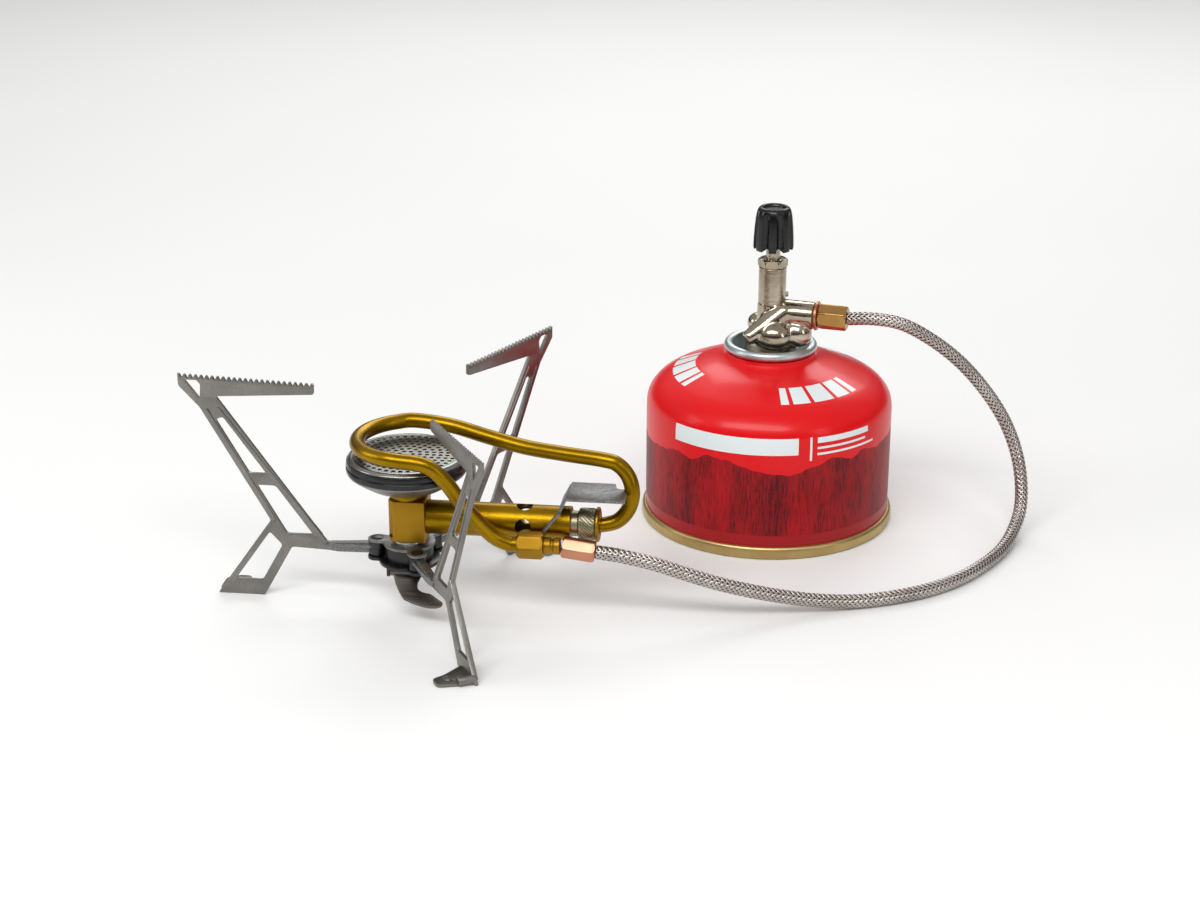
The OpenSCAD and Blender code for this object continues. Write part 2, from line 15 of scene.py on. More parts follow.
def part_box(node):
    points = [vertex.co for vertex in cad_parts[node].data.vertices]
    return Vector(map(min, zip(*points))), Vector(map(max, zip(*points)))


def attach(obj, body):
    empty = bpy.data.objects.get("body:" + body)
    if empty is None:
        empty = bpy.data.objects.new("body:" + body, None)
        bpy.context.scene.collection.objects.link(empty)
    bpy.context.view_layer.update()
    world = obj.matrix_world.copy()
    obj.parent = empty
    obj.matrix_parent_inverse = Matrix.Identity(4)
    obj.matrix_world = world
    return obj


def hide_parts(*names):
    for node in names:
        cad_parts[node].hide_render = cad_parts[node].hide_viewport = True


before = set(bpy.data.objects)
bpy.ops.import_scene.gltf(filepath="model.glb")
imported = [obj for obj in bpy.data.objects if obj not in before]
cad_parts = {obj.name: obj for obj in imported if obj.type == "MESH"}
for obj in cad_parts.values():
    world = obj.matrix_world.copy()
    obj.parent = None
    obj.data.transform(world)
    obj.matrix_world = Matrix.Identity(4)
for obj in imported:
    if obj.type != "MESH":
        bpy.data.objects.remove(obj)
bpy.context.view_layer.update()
MM = 0.001

# %% [markdown]
# ## Places
# Two upright axes carry nearly everything: the hub's and the canister's. They come from the boxes of round
# nodes that turn on them. From here on lengths are in millimetres, which suit an object of this size, and
# a piece is scaled to metres once, when it is finished.

# %% Axes and heights
def low(node):
    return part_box(node)[0] / MM


def high(node):
    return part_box(node)[1] / MM


def mid(node):
    return (low(node) + high(node)) / 2


def at(x, y, z):
    return Matrix.Translation((x, y, z))


def spun(degrees, axis):
    return Matrix.Rotation(math.radians(degrees), 4, axis)


def polar(radius, angle):
    return radius * math.cos(angle), radius * math.sin(angle)


def added(name, data):
    """An object with this data, linked to the scene."""
    made = bpy.data.objects.new(name, data)
    bpy.context.scene.collection.objects.link(made)
    return made


def painted(mesh, *materials):
    """Gives a mesh these materials and no others."""
    mesh.materials.clear()
    for material in materials:
        mesh.materials.append(material)


HUB = Vector((*mid("hub_washer").xy, 0))
CAN = Vector((*mid("canister_base").xy, 0))
OUTLET_TURN = -11
SIDE_STEP = 1.1
HINGE_R = 11
BOLT_HOLE = 2.05
LEG_TURNS = {"leg_left": 180, "leg_back": 60, "leg_front": -60}
MIX_Z = mid("mixing_tube").z
OUTLET_Z = mid("outlet_washer").z
print("hub at", HUB.xy, "canister at", CAN.xy)

# %% [markdown]
# ## Camera, floor and light
# A long lens from the front and a little above keeps the circles calm. Metal shows only what surrounds it,
# so four soft lamps give it bright stripes, and the sky darkens towards the horizon to give it edges.

# %% Camera
camera_data = bpy.data.cameras.new("camera")
camera_data.lens = 70.26
camera_data.sensor_width = 36
camera_data.shift_y = 0.03475
camera_data.clip_start = 0.01
camera = added("camera", camera_data)
camera.location = (0.1070, -0.7315, 0.3291)
camera.rotation_euler = (math.radians(67.78), 0, math.radians(6.97))
bpy.context.scene.camera = camera
bpy.context.scene.view_settings.view_transform = "Standard"
print("camera", [round(x, 3) for x in camera.location])


# %% [markdown]
# ## Sums on sockets
# A pattern in a material is a sum, such as one minus a mask. Wiring Math nodes by hand hides the sum, so a
# small class wraps a socket and adds the node whenever Python's own operators are used on it. The same
# class serves materials and Geometry Nodes, because both know the Math node.

# %% The wire and the tree
class Wire:
    """One output socket on which sums can be written."""

    def __init__(self, tree, socket):
        self.tree = tree
        self.socket = socket

    def maths(self, operation, *others):
        """One Math node, with this value first."""
        return self.tree.maths(operation, self, *others)

    def __add__(self, other):
        return self.maths("ADD", other)

    def __sub__(self, other):
        return self.maths("SUBTRACT", other)

    def __rsub__(self, other):
        return self.tree.maths("SUBTRACT", other, self)

    def __mul__(self, other):
        return self.maths("MULTIPLY", other)

    def __truediv__(self, other):
        return self.maths("DIVIDE", other)

    def __gt__(self, other):
        return self.maths("GREATER_THAN", other)

    def __lt__(self, other):
        return self.maths("LESS_THAN", other)

    __radd__ = __add__
    __rmul__ = __mul__


class Made:
    """A node's outputs, by name or number."""

    def __init__(self, tree, node):
        self.tree = tree
        self.node = node

    def __getitem__(self, key):
        return Wire(self.tree, self.node.outputs[key])


class Tree:
    """A node tree, filled by one method."""

    def __init__(self, node_tree):
        self.nodes = node_tree.nodes
        self.links = node_tree.links
        self.nodes.clear()

    def node(self, kind, settings=None, sockets=None):
        made = self.nodes.new(kind)
        for key, value in (settings or {}).items():
            if key == "stops":
                ramp = made.color_ramp
                while len(ramp.elements) < len(value):
                    ramp.elements.new(0.5)
                for element, (place, grey) in zip(ramp.elements, value):
                    element.position = place
                    element.color = (grey, grey, grey, 1)
            else:
                setattr(made, key, value)
        for key, value in (sockets or {}).items():
            if isinstance(value, Wire):
                self.links.new(value.socket, made.inputs[key])
            else:
                made.inputs[key].default_value = value
        return Made(self, made)

    def maths(self, operation, *values):
        return self.node("ShaderNodeMath", {"operation": operation}, dict(enumerate(values)))[0]

    def vector(self, x, y, z):
        return self.node("ShaderNodeCombineXYZ", {}, {0: x, 1: y, 2: z})[0]

    def polar(self, radius, angle, height):
        """A point about the Z axis."""
        return self.vector(radius * angle.maths("COSINE"), radius * angle.maths("SINE"), height)

    def mix(self, factor, a, b):
        """Colour a where factor is 0, and b where it is 1."""
        return self.node("ShaderNodeMix", {"data_type": "RGBA"}, {0: factor, 6: a, 7: b})[2]

    def noise(self, where, scale, detail=2.0):
        return self.node("ShaderNodeTexNoise", {}, {"Vector": where, "Scale": scale, "Detail": detail})[0]

    def ramp(self, value, *stops):
        return self.node("ShaderNodeValToRGB", {"stops": stops}, {"Fac": value})[0]


def tint(red, green, blue):
    """A colour from screen values of 0 to 255."""
    return (*[(x / 255 / 12.92) if x < 11 else ((x / 255 + 0.055) / 1.055) ** 2.4
              for x in (red, green, blue)], 1)


# %% [markdown]
# ## Floor and lamps
# The floor is plain and pale, wide enough to fill the view from any side, with only a faint unevenness.
# It isn't part of the stove.

# %% Floor, lamps and sky
def new_material(name):
    material = bpy.data.materials.new(name)
    material.use_nodes = True
    return material, Tree(material.node_tree)


def surface(tree, **sockets):
    """Ends a material with one Principled shader; underscores in names stand for spaces."""
    named = {key.replace("_", " "): value for key, value in sockets.items()}
    shader = tree.node("ShaderNodeBsdfPrincipled", {}, named)
    tree.node("ShaderNodeOutputMaterial", {}, {"Surface": shader[0]})


floor_paint, tree = new_material("floor_paint")
place = tree.node("ShaderNodeTexCoord")["Object"]
surface(tree, Roughness=0.85, Specular_IOR_Level=0.2,
        Base_Color=tree.mix(tree.noise(place, 3), tint(238, 238, 237), tint(245, 245, 244)))
floor_mesh = bpy.data.meshes.new("floor")
FLOOR = 9
floor_mesh.from_pydata([(-FLOOR, -FLOOR, 0), (FLOOR, -FLOOR, 0), (FLOOR, FLOOR, 0), (-FLOOR, FLOOR, 0)],
                       [], [(0, 1, 2, 3)])
floor_mesh.materials.append(floor_paint)
floor = added("floor", floor_mesh)

LAMPS = {"key_lamp": ((-0.10, -0.70, 0.85), (1.1, 0.30), 7.5),
         "side_lamp": ((-0.95, -0.20, 0.45), (0.3, 0.5), 1.6),
         "fill_lamp": ((0.95, -0.60, 0.40), (0.25, 0.5), 1.0),
         "back_lamp": ((0.10, 0.95, 0.80), (0.9, 0.5), 5.0)}
LAMP_AIM = Vector((0, 0, 0.03))
for name, (spot, (width, height), power) in LAMPS.items():
    lamp_data = bpy.data.lights.new(name, "AREA")
    lamp_data.shape = "RECTANGLE"
    lamp_data.size = width
    lamp_data.size_y = height
    lamp_data.energy = power
    lamp = added(name, lamp_data)
    lamp.location = spot
    lamp.rotation_euler = (LAMP_AIM - Vector(spot)).to_track_quat("-Z", "Y").to_euler()

world = bpy.data.worlds.new("studio")
world.use_nodes = True
bpy.context.scene.world = world
tree = Tree(world.node_tree)
up = tree.node("ShaderNodeSeparateXYZ", {}, {0: tree.node("ShaderNodeTexCoord")["Generated"]})["Z"]
sky = tree.ramp(up, (0.0, 0.03), (0.15, 0.10), (0.42, 0.85), (1.0, 1.0))
background = tree.node("ShaderNodeBackground", {}, {"Color": sky, "Strength": 0.55})
tree.node("ShaderNodeOutputWorld", {}, {"Surface": background[0]})
print(len(LAMPS), "lamps")

# %% [markdown]
# ## Metals
# Every metal here is the same recipe with other numbers: two shades mixed by soft clouds, a fine grain in
# roughness and bump, and the rings that a lathe leaves. A turned piece carries the attribute run, the
# distance along its profile in millimetres, so its rings need no axis. On other pieces run is zero and the
# rings vanish.

# %% One recipe for all metals
def metal(name, shade, worn, roughness, grain=1500, depth=0.3, spread=0.1, rings=0.0, speck=0.0):
    """Grain is specks per metre; spread is how far roughness wanders; speck darkens the grain's pits."""
    shade, worn = tint(*shade), tint(*worn)
    material, tree = new_material(name)
    place = tree.node("ShaderNodeTexCoord")["Object"]
    clouds = tree.noise(place, 70, 3)
    fine = tree.noise(place, grain, 3)
    run = tree.node("ShaderNodeAttribute", {"attribute_name": "run"})["Fac"]
    turned = tree.node("ShaderNodeTexNoise", {"noise_dimensions": "1D"}, {"W": run * 5.3, "Scale": 1.0})[0]
    base = tree.mix(tree.ramp(clouds, (0.3, 0), (0.7, 1)), shade, worn)
    pits = tree.ramp(fine, (0.42, 1), (0.58, 0))
    base = tree.mix(pits * speck, base, tuple(x * 0.35 for x in shade[:3]) + (1,))
    rough = roughness + (fine - 0.5) * spread + (turned - 0.5) * rings
    bump = tree.node("ShaderNodeBump", {}, {"Strength": depth, "Distance": 0.0001,
                                            "Height": fine + (turned - 0.5) * (rings * 12)})
    surface(tree, Base_Color=base, Metallic=1.0, Roughness=rough, Normal=bump[0])
    return material


GOLD = metal("gold_anodised", (164, 128, 18), (142, 106, 14), 0.33, grain=2600, depth=0.35, rings=0.10,
             speck=0.12)
GOLD_FINE = metal("gold_block", (176, 134, 40), (156, 116, 30), 0.42, grain=5200, depth=0.3, speck=0.2)
LEG_STEEL = metal("leg_steel", (150, 147, 142), (128, 125, 121), 0.40, grain=3200, depth=0.3,
                  speck=0.3)
SPECKLED = metal("speckled_steel", (156, 156, 156), (138, 138, 138), 0.50, grain=2300, depth=0.8,
                 spread=0.25, speck=0.7)
# Painted shade: a dark brown for the inside of the mixing tube's bore.
BORE_SHADE = metal("bore_painted_shade", (70, 52, 24), (44, 34, 20), 0.6, grain=1500, depth=0.3)
DARK_STEEL = metal("dark_steel", (78, 78, 77), (58, 58, 59), 0.34, grain=1500, depth=0.35)
BRIGHT_STEEL = metal("bright_steel", (222, 220, 216), (206, 204, 200), 0.20, grain=2500, depth=0.1,
                     rings=0.12)
LEVER_STEEL = metal("lever_steel", (122, 116, 110), (100, 94, 89), 0.42, grain=1600, depth=0.25)
BOWL_STEEL = metal("burner_steel", (150, 150, 146), (124, 124, 121), 0.36, grain=1800, depth=0.2,
                   rings=0.2)
PLATE_STEEL = metal("flame_plate_steel", (162, 162, 156), (140, 140, 135), 0.44, grain=1800,
                    depth=0.1)
GAUZE = metal("gauze_wire", (38, 37, 36), (24, 24, 24), 0.6, grain=3000, depth=0.4)
# Painted reflection: the burner band's polished face is coloured dark for the dark surroundings it mirrors.
BAND_REFLECTION = metal("band_painted_reflection", (66, 66, 67), (50, 50, 52), 0.28, grain=2500, depth=0.1, rings=0.15)
BEVEL_STEEL = metal("bevel_steel", (150, 150, 147), (130, 130, 128), 0.26, grain=2500, depth=0.1,
                    rings=0.12)
KNURLED = metal("knurled_brass", (164, 158, 132), (140, 132, 106), 0.40, grain=2600, depth=0.25)
BRASS = metal("brass", (198, 156, 96), (172, 128, 74), 0.30, grain=2200, depth=0.15, rings=0.08)
COPPER = metal("copper", (208, 148, 120), (186, 122, 94), 0.36, grain=2200, depth=0.15, rings=0.08)
BRAID = metal("braid_wire", (208, 199, 193), (178, 167, 161), 0.30, grain=4000, depth=0.2)
NICKEL = metal("cast_nickel", (200, 190, 174), (152, 137, 114), 0.15, grain=900, depth=0.5,
               spread=0.16, rings=0.08)
PALE_GOLD = metal("pale_gold", (196, 172, 118), (176, 150, 96), 0.36, grain=1500, depth=0.15,
                  rings=0.15)
ZINC = metal("zinc", (204, 212, 214), (184, 194, 196), 0.34, grain=900, depth=0.2, rings=0.2)
print(len(bpy.data.materials), "materials so far")

# %% [markdown]
# ## Plastic, rubber and paint
# The knob is moulded, so it has a satin face with a fine orange-peel. The canister's lacquer is glossy red.
# Round its waist runs a darker printed band with a ragged upper edge and upright streaks, and plain white
# bars stand where a maker would put a name.

# %% Moulded finishes
def moulded(name, shade, roughness, grain, coat=0.0):
    shade = tint(*shade)
    material, tree = new_material(name)
    place = tree.node("ShaderNodeTexCoord")["Object"]
    peel = tree.noise(place, grain, 2)
    wear = tree.noise(place, 180, 4)
    bump = tree.node("ShaderNodeBump", {}, {"Strength": 0.25, "Distance": 0.0001, "Height": peel})
    lighter = tuple(x * 1.6 + 0.002 for x in shade[:3]) + (1,)
    surface(tree, Base_Color=tree.mix(tree.ramp(wear, (0.45, 0), (0.8, 1)), shade, lighter),
            Roughness=roughness + (wear - 0.5) * 0.12, Coat_Weight=coat, Specular_IOR_Level=0.4,
            Normal=bump[0])
    return material


BLACK = moulded("black_plastic", (7, 7, 10), 0.27, 2500, coat=0.1)
RUBBER = moulded("rubber", (28, 27, 26), 0.7, 3500)
WHITE_PLASTIC = moulded("white_plastic", (225, 224, 218), 0.45, 2000)


# %% Canister lacquer
RIDGE = [(x / 360 + 0.5, z / 100) for x, z in (
    (-180, 33), (-160, 36), (-135, 32), (-112, 36.5), (-90, 33), (-70, 32), (-52, 33.4), (-45, 34.4),
    (-37, 32.6), (-29, 36.0), (-20, 35.6), (-5, 32.6), (10, 30.8), (22, 33.6), (31, 36.4), (41, 34.2),
    (49, 36.4), (60, 34.8), (86, 36.4), (105, 32), (128, 36), (150, 31.6), (180, 33))]

STRIP_FOOT, BAND_FOOT = 4.6, 8.6


def lacquer():
    """Red lacquer in coordinates about the canister's axis: angle from the front, and height in mm."""
    material, tree = new_material("red_lacquer")
    place = tree.node("ShaderNodeTexCoord")["Object"]
    centred = tree.node("ShaderNodeVectorMath", {"operation": "SUBTRACT"}, {0: place, 1: CAN * MM})[0]
    part = tree.node("ShaderNodeSeparateXYZ", {}, {0: centred})
    x, y, z = (part[i] * 1000 for i in range(3))
    facing = math.radians(-87.4)
    across = y * math.cos(facing) - x * math.sin(facing)
    ahead = x * math.cos(facing) + y * math.sin(facing)
    angle = across.maths("ARCTAN2", ahead) * math.degrees(1)
    out = (x * x + y * y).maths("SQRT")

    def within(value, start, end):
        return (value > start) * (value < end)

    around = tree.vector(x / 12, y / 12, z / 60)
    heights = tree.ramp(angle / 360 + 0.5, *RIDGE)
    band = within(z, BAND_FOOT, heights * 100 + tree.noise(around, 3.0, 3) * 2.4 - 1.2)
    streaky = tree.vector(x * 1.9, y * 1.9, z / 5)
    streaks = tree.ramp(tree.noise(streaky, 1.0, 3), (0.46, 0), (0.60, 1))
    dots = tree.ramp(tree.noise(tree.vector(x, y, z * 1.6), 1.5, 2), (0.40, 0), (0.55, 1))
    dark = tree.ramp(tree.noise(around, 1.1, 4), (0.32, 0), (0.66, 1))
    red = tint(222, 6, 16)
    printed = tree.mix(streaks * (dots * 0.6 + 0.4) * (dark * 0.55 + 0.4), tree.mix(dark, tint(178, 8, 20),
                       tint(122, 6, 16)), tint(34, 4, 8))
    strip = within(z, STRIP_FOOT, BAND_FOOT)
    colour = tree.mix(band, tree.mix(strip, red, tint(160, 10, 18)), printed)
    bars = (within(angle, -47, 14) * within(z, 38.4, 44.4) + within(angle, 19.4, 20.4) * within(z, 36.0, 44.4)
            + within(angle, 23, 52) * within(z, 42.2, 44.2) + within(angle, 23, 50) * within(z, 40.0, 40.8)
            + within(angle, 23, 56) * within(z, 37.8, 38.6))
    turn = (angle + 26).maths("PINGPONG", 60)
    shoulder = within(out, 26.5, 34.5) * (z > 50) * within(turn, 33, 60)
    gap = turn.maths("PINGPONG", 6.5) > 1.3
    colour = tree.mix((bars + shoulder * gap) < 0.5, tint(226, 234, 234), colour)
    peel = tree.node("ShaderNodeBump", {}, {"Strength": 0.08, "Distance": 0.0002,
                                            "Height": tree.noise(place, 420, 2)})
    surface(tree, Base_Color=colour, Roughness=0.34 + band * 0.12, Coat_Weight=0.18 - band * 0.1,
            Coat_Roughness=0.12, Specular_IOR_Level=0.22, Normal=peel[0])
    return material


RED = lacquer()
print("moulded and painted finishes made")

# %% [markdown]
# ## Making meshes
# Most pieces are one of four things: a turned profile, a plate cut from sheet, a bent tube or a hexagon.
# Each has a short function. Corners are rounded with small curves, because a real edge always catches light.

# %% Finishing a piece
def finished(name, mesh, body, material, nodes=(), place=Matrix.Identity(4), edge=38):
    """Places a millimetre mesh, and makes it a piece that rides, replaces and takes its finish."""
    mesh.transform(Matrix.Scale(MM, 4) @ place)
    mesh.name = name
    if material is not None:
        painted(mesh, material)
    mesh.polygons.foreach_set("use_smooth", [True] * len(mesh.polygons))
    mesh.set_sharp_from_angle(angle=math.radians(edge))
    piece = added(name, mesh)
    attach(piece, body)
    if nodes:
        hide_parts(*nodes)
    print(name, len(mesh.polygons), "faces")
    return piece


def mesh_from(bm):
    """A finished bmesh as a mesh, merged and facing outwards."""
    bmesh.ops.remove_doubles(bm, verts=bm.verts[:], dist=0.002)
    bmesh.ops.recalc_face_normals(bm, faces=bm.faces[:])
    mesh = bpy.data.meshes.new("made")
    bm.to_mesh(mesh)
    bm.free()
    return mesh


def walled(bm, rings, caps=(0, -1)):
    """Rings of equal count joined by a wall, with the rings numbered in caps closed by a face."""
    sides = len(rings[0])
    for a, b in zip(rings, rings[1:]):
        for k in range(sides):
            bm.faces.new((a[k], a[(k + 1) % sides], b[(k + 1) % sides], b[k]))
    for i in caps:
        bm.faces.new(rings[i])
    return mesh_from(bm)


def rounded(points, radius, steps=4, closed=True):
    """A polyline with each corner replaced by a small curve."""
    out = []
    count = len(points)
    for i, point in enumerate(points):
        here = Vector(point)
        if not closed and i in (0, count - 1):
            out.append(here)
            continue
        before = Vector(points[i - 1]) - here
        after = Vector(points[(i + 1) % count]) - here
        start = here + before.normalized() * min(radius, before.length * 0.45)
        end = here + after.normalized() * min(radius, after.length * 0.45)
        for k in range(steps + 1):
            t = k / steps
            out.append(start * (1 - t) ** 2 + here * 2 * t * (1 - t) + end * t * t)
    return out


def turned(profile, sides=96):
    """A closed profile of (radius, height) turned about Z, with the distance along it as attribute run."""
    bm = bmesh.new()
    layer = bm.verts.layers.float.new("run")
    rings = []
    run = 0.0
    for i, (r, z) in enumerate(profile):
        if i:
            run += math.dist(profile[i - 1], (r, z))
        count = 1 if r < 1e-4 else sides
        ring = [bm.verts.new((*polar(r, 2 * math.pi * k / sides), z)) for k in range(count)]
        for vert in ring:
            vert[layer] = run
        rings.append(ring)
    for a, b in zip(rings, rings[1:] + rings[:1]):
        for k in range(sides):
            corners = [a[k % len(a)], a[(k + 1) % len(a)], b[(k + 1) % len(b)], b[k % len(b)]]
            unique = list(dict.fromkeys(corners))
            if len(unique) > 2:
                bm.faces.new(unique)
    return mesh_from(bm)


def lathe(profile, edge, steps=4, closed=True, sides=96):
    """A turned piece whose profile has rounded corners."""
    return turned(rounded(profile, edge, steps, closed), sides)


def ring_profile(outer, bore, start, end, edge=0.25):
    return rounded([(bore, start), (outer, start), (outer, end), (bore, end)], edge, 3)


def sheet(outline, holes, thickness, bevel=0.12):
    """A flat plate in XY, with holes and softened edges, its middle at z = 0."""
    curve = bpy.data.curves.new("outline", "CURVE")
    curve.dimensions = "2D"
    curve.fill_mode = "BOTH"
    curve.extrude = thickness / 2 - bevel
    curve.bevel_depth = bevel
    curve.bevel_resolution = 1
    curve.offset = -bevel
    for loop in [outline, *holes]:
        spline = curve.splines.new("POLY")
        spline.points.add(len(loop) - 1)
        for point, (x, y) in zip(spline.points, loop):
            point.co = (x, y, 0, 1)
        spline.use_cyclic_u = True
    holder = bpy.data.objects.new("outline", curve)
    flat = bpy.data.meshes.new_from_object(holder)
    bpy.data.objects.remove(holder)
    bm = bmesh.new()
    bm.from_mesh(flat)
    return mesh_from(bm)


def arc(x, y, radius, angles):
    return [(x + dx, y + dy) for dx, dy in (polar(radius, angle) for angle in angles)]


def circle(x, y, radius, sides=24):
    return arc(x, y, radius, [2 * math.pi * k / sides for k in range(sides)])


def smooth_route(points, steps):
    """The same Catmull-Rom route as the engineering model's tube."""
    p = [Vector(q) for q in points]
    p = [2 * p[0] - p[1], *p, 2 * p[-1] - p[-2]]
    out = []
    for a, b, c, d in zip(p, p[1:], p[2:], p[3:]):
        for k in range(steps):
            t = k / steps
            out.append(0.5 * (2 * b + (c - a) * t + (2 * a - 5 * b + 4 * c - d) * t * t
                              + (3 * b - a - 3 * c + d) * t ** 3))
    return out + [p[-2]]


def tube(points, radius, sides=28):
    """A round bar along points, whose rings turn with the route without twisting."""
    bm = bmesh.new()
    side = Vector((0.31, 0.57, 0.76))
    rings = []
    for i, point in enumerate(points):
        along = (points[min(i + 1, len(points) - 1)] - points[max(i - 1, 0)]).normalized()
        side = (side - along * side.dot(along)).normalized()
        other = along.cross(side)
        rings.append([bm.verts.new(point + radius * (math.cos(2 * math.pi * k / sides) * side
                                                     + math.sin(2 * math.pi * k / sides) * other))
                      for k in range(sides)])
    return walled(bm, rings)


def hexagon(corner_r, length, chamfer=0.9, sides=96):
    """A hexagonal bar along X whose corners are turned off at both ends, as a nut's are."""
    flat = corner_r * math.cos(math.radians(30))
    levels = [chamfer * share for share in (0, 0.15, 0.35, 0.65, 1)]
    levels = levels + [length - x for x in reversed(levels)]
    slope = (corner_r - flat * 0.97) / chamfer
    profile_r = [flat * 0.55, *[flat * 0.97 + slope * min(x, length - x) for x in levels], flat * 0.55]
    heights = [0, *levels, length]
    bm = bmesh.new()
    rings = []
    for r, x in zip(profile_r, heights):
        ring = []
        for k in range(sides):
            a = 2 * math.pi * k / sides
            face = flat / math.cos((a + math.pi / 6) % (math.pi / 3) - math.pi / 6)
            near = min(face, r)
            ring.append(bm.verts.new((x, *polar(near, a))))
        rings.append(ring)
    return walled(bm, rings)


def prism(outline, start, end, bevel=0.3, segments=2):
    """An outline in XY raised from start to end along Z, with every edge bevelled."""
    bm = bmesh.new()
    bottom = [bm.verts.new((*point, start)) for point in outline]
    top = [bm.verts.new((*point, end)) for point in outline]
    bm.faces.new(bottom)
    bm.faces.new(top)
    for i in range(len(outline)):
        j = (i + 1) % len(outline)
        bm.faces.new((bottom[i], bottom[j], top[j], top[i]))
    bmesh.ops.recalc_face_normals(bm, faces=bm.faces[:])
    if bevel:
        bmesh.ops.bevel(bm, geom=bm.edges[:], offset=bevel, segments=segments, profile=0.5, affect="EDGES")
    return mesh_from(bm)


def joined(*meshes):
    """Several closed meshes as one."""
    bm = bmesh.new()
    for mesh in meshes:
        bm.from_mesh(mesh)
    out = bpy.data.meshes.new("joined")
    bm.to_mesh(out)
    bm.free()
    return out


def moved(mesh, matrix):
    mesh.transform(matrix)
    return mesh


def applied(holder, *others):
    """The mesh an object has after its modifiers. The objects then go."""
    mesh = bpy.data.meshes.new_from_object(holder.evaluated_get(bpy.context.evaluated_depsgraph_get()))
    for used in (holder, *others):
        bpy.data.objects.remove(used)
    return mesh


def modified(mesh, kind, settings, *others):
    """A mesh after one modifier."""
    holder = added("holder", mesh)
    modifier = holder.modifiers.new(kind, kind)
    for key, value in settings.items():
        setattr(modifier, key, value)
    return applied(holder, *others)


def carved(mesh, cutter):
    """A mesh with another one cut out of it."""
    knife = added("knife", cutter)
    return modified(mesh, "BOOLEAN", {"operation": "DIFFERENCE", "solver": "EXACT", "object": knife}, knife)


def along_x(start):
    """Turns a piece made along Z so that it lies along X from a point."""
    return Matrix.Translation(start) @ spun(90, "Y")


AT_HUB = Matrix.Translation(HUB)
AT_CAN = Matrix.Translation(CAN)
print("mesh helpers ready")

# %% [markdown]
# ## Geometry Nodes, grown from a script
# What repeats is grown by nodes. A tree gets named inputs, and the modifier's inputs are set by their
# identifiers before the object is first evaluated. The result becomes a plain mesh and the modifier goes.

# %% Growing a mesh with nodes
SOCKETS = {float: "NodeSocketFloat", int: "NodeSocketInt", bpy.types.Material: "NodeSocketMaterial"}


def grow(name, base, build, **inputs):
    """Runs a node tree on base, an object's data in millimetres, and returns the mesh it makes."""
    group = bpy.data.node_groups.new(name, "GeometryNodeTree")
    group.interface.new_socket(name="Geometry", in_out="INPUT", socket_type="NodeSocketGeometry")
    for key, value in inputs.items():
        group.interface.new_socket(name=key, in_out="INPUT", socket_type=SOCKETS[type(value)])
    group.interface.new_socket(name="Geometry", in_out="OUTPUT", socket_type="NodeSocketGeometry")
    tree = Tree(group)
    given = tree.node("NodeGroupInput")
    made = build(tree, given)
    real = tree.node("GeometryNodeRealizeInstances", {}, {"Geometry": made})
    coated = tree.node("GeometryNodeSetMaterial", {}, {"Geometry": real[0], "Material": given["finish"]})
    tree.node("NodeGroupOutput", {}, {"Geometry": coated[0]})
    holder = added(name, base)
    modifier = holder.modifiers.new(name, "NODES")
    modifier.node_group = group
    for item in group.interface.items_tree:
        if item.in_out == "INPUT" and item.name in inputs:
            modifier[item.identifier] = inputs[item.name]
    mesh = applied(holder)
    print(name, "grew", len(mesh.polygons), "faces")
    return mesh


# %% [markdown]
# ## The hose
# The hose comes first, because its route settles the room the whole object takes. Inside is a dark rubber
# tube, a curve through the route's points. Over it lies a braid of steel bands. A braid is two families of
# helices that pass over two and under two: sixteen bands are laid along a straight line, each waved by the
# same sine of its crossings, and the finished weave is then bent onto the route.

# %% Hose core
HOSE_ROUTE = [
    (21.7, -45.1, 25.5), (30, -44.8, 24.4), (40, -43.6, 21.8), (50, -41.6, 18), (60, -39, 14),
    (71, -35.5, 10.2), (83, -31.2, 6.6), (95, -27, 4), (107, -22.6, 2.6), (119, -17.2, 2.4),
    (130, -10, 2.4), (140, 0, 2.4), (148, 12, 2.4), (154.5, 25, 2.4), (159, 38, 3.6),
    (162, 49, 8.5), (162, 56, 17), (159.5, 59, 27.5), (154.5, 59.5, 38.8), (147, 58.5, 50),
    (137.8, 56.5, 60.5), (127.5, 54, 69), (117, 51.8, 75), (107, 50.8, 76.8), (98.3, 52.3, 76)]
CORE_R = 1.9
hose_curve = bpy.data.curves.new("hose_core", "CURVE")
hose_curve.dimensions = "3D"
hose_curve.bevel_depth = CORE_R * MM
hose_curve.bevel_resolution = 4
hose_curve.use_fill_caps = True
spline = hose_curve.splines.new("BEZIER")
spline.bezier_points.add(len(HOSE_ROUTE) - 1)
for knot, spot in zip(spline.bezier_points, HOSE_ROUTE):
    knot.co = Vector(spot) * MM
    knot.handle_left_type = "AUTO"
    knot.handle_right_type = "AUTO"
spline.resolution_u = 8
hose_curve.materials.append(RUBBER)
hose_core = added("hose_core", hose_curve)
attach(hose_core, "stove")
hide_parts("hose")


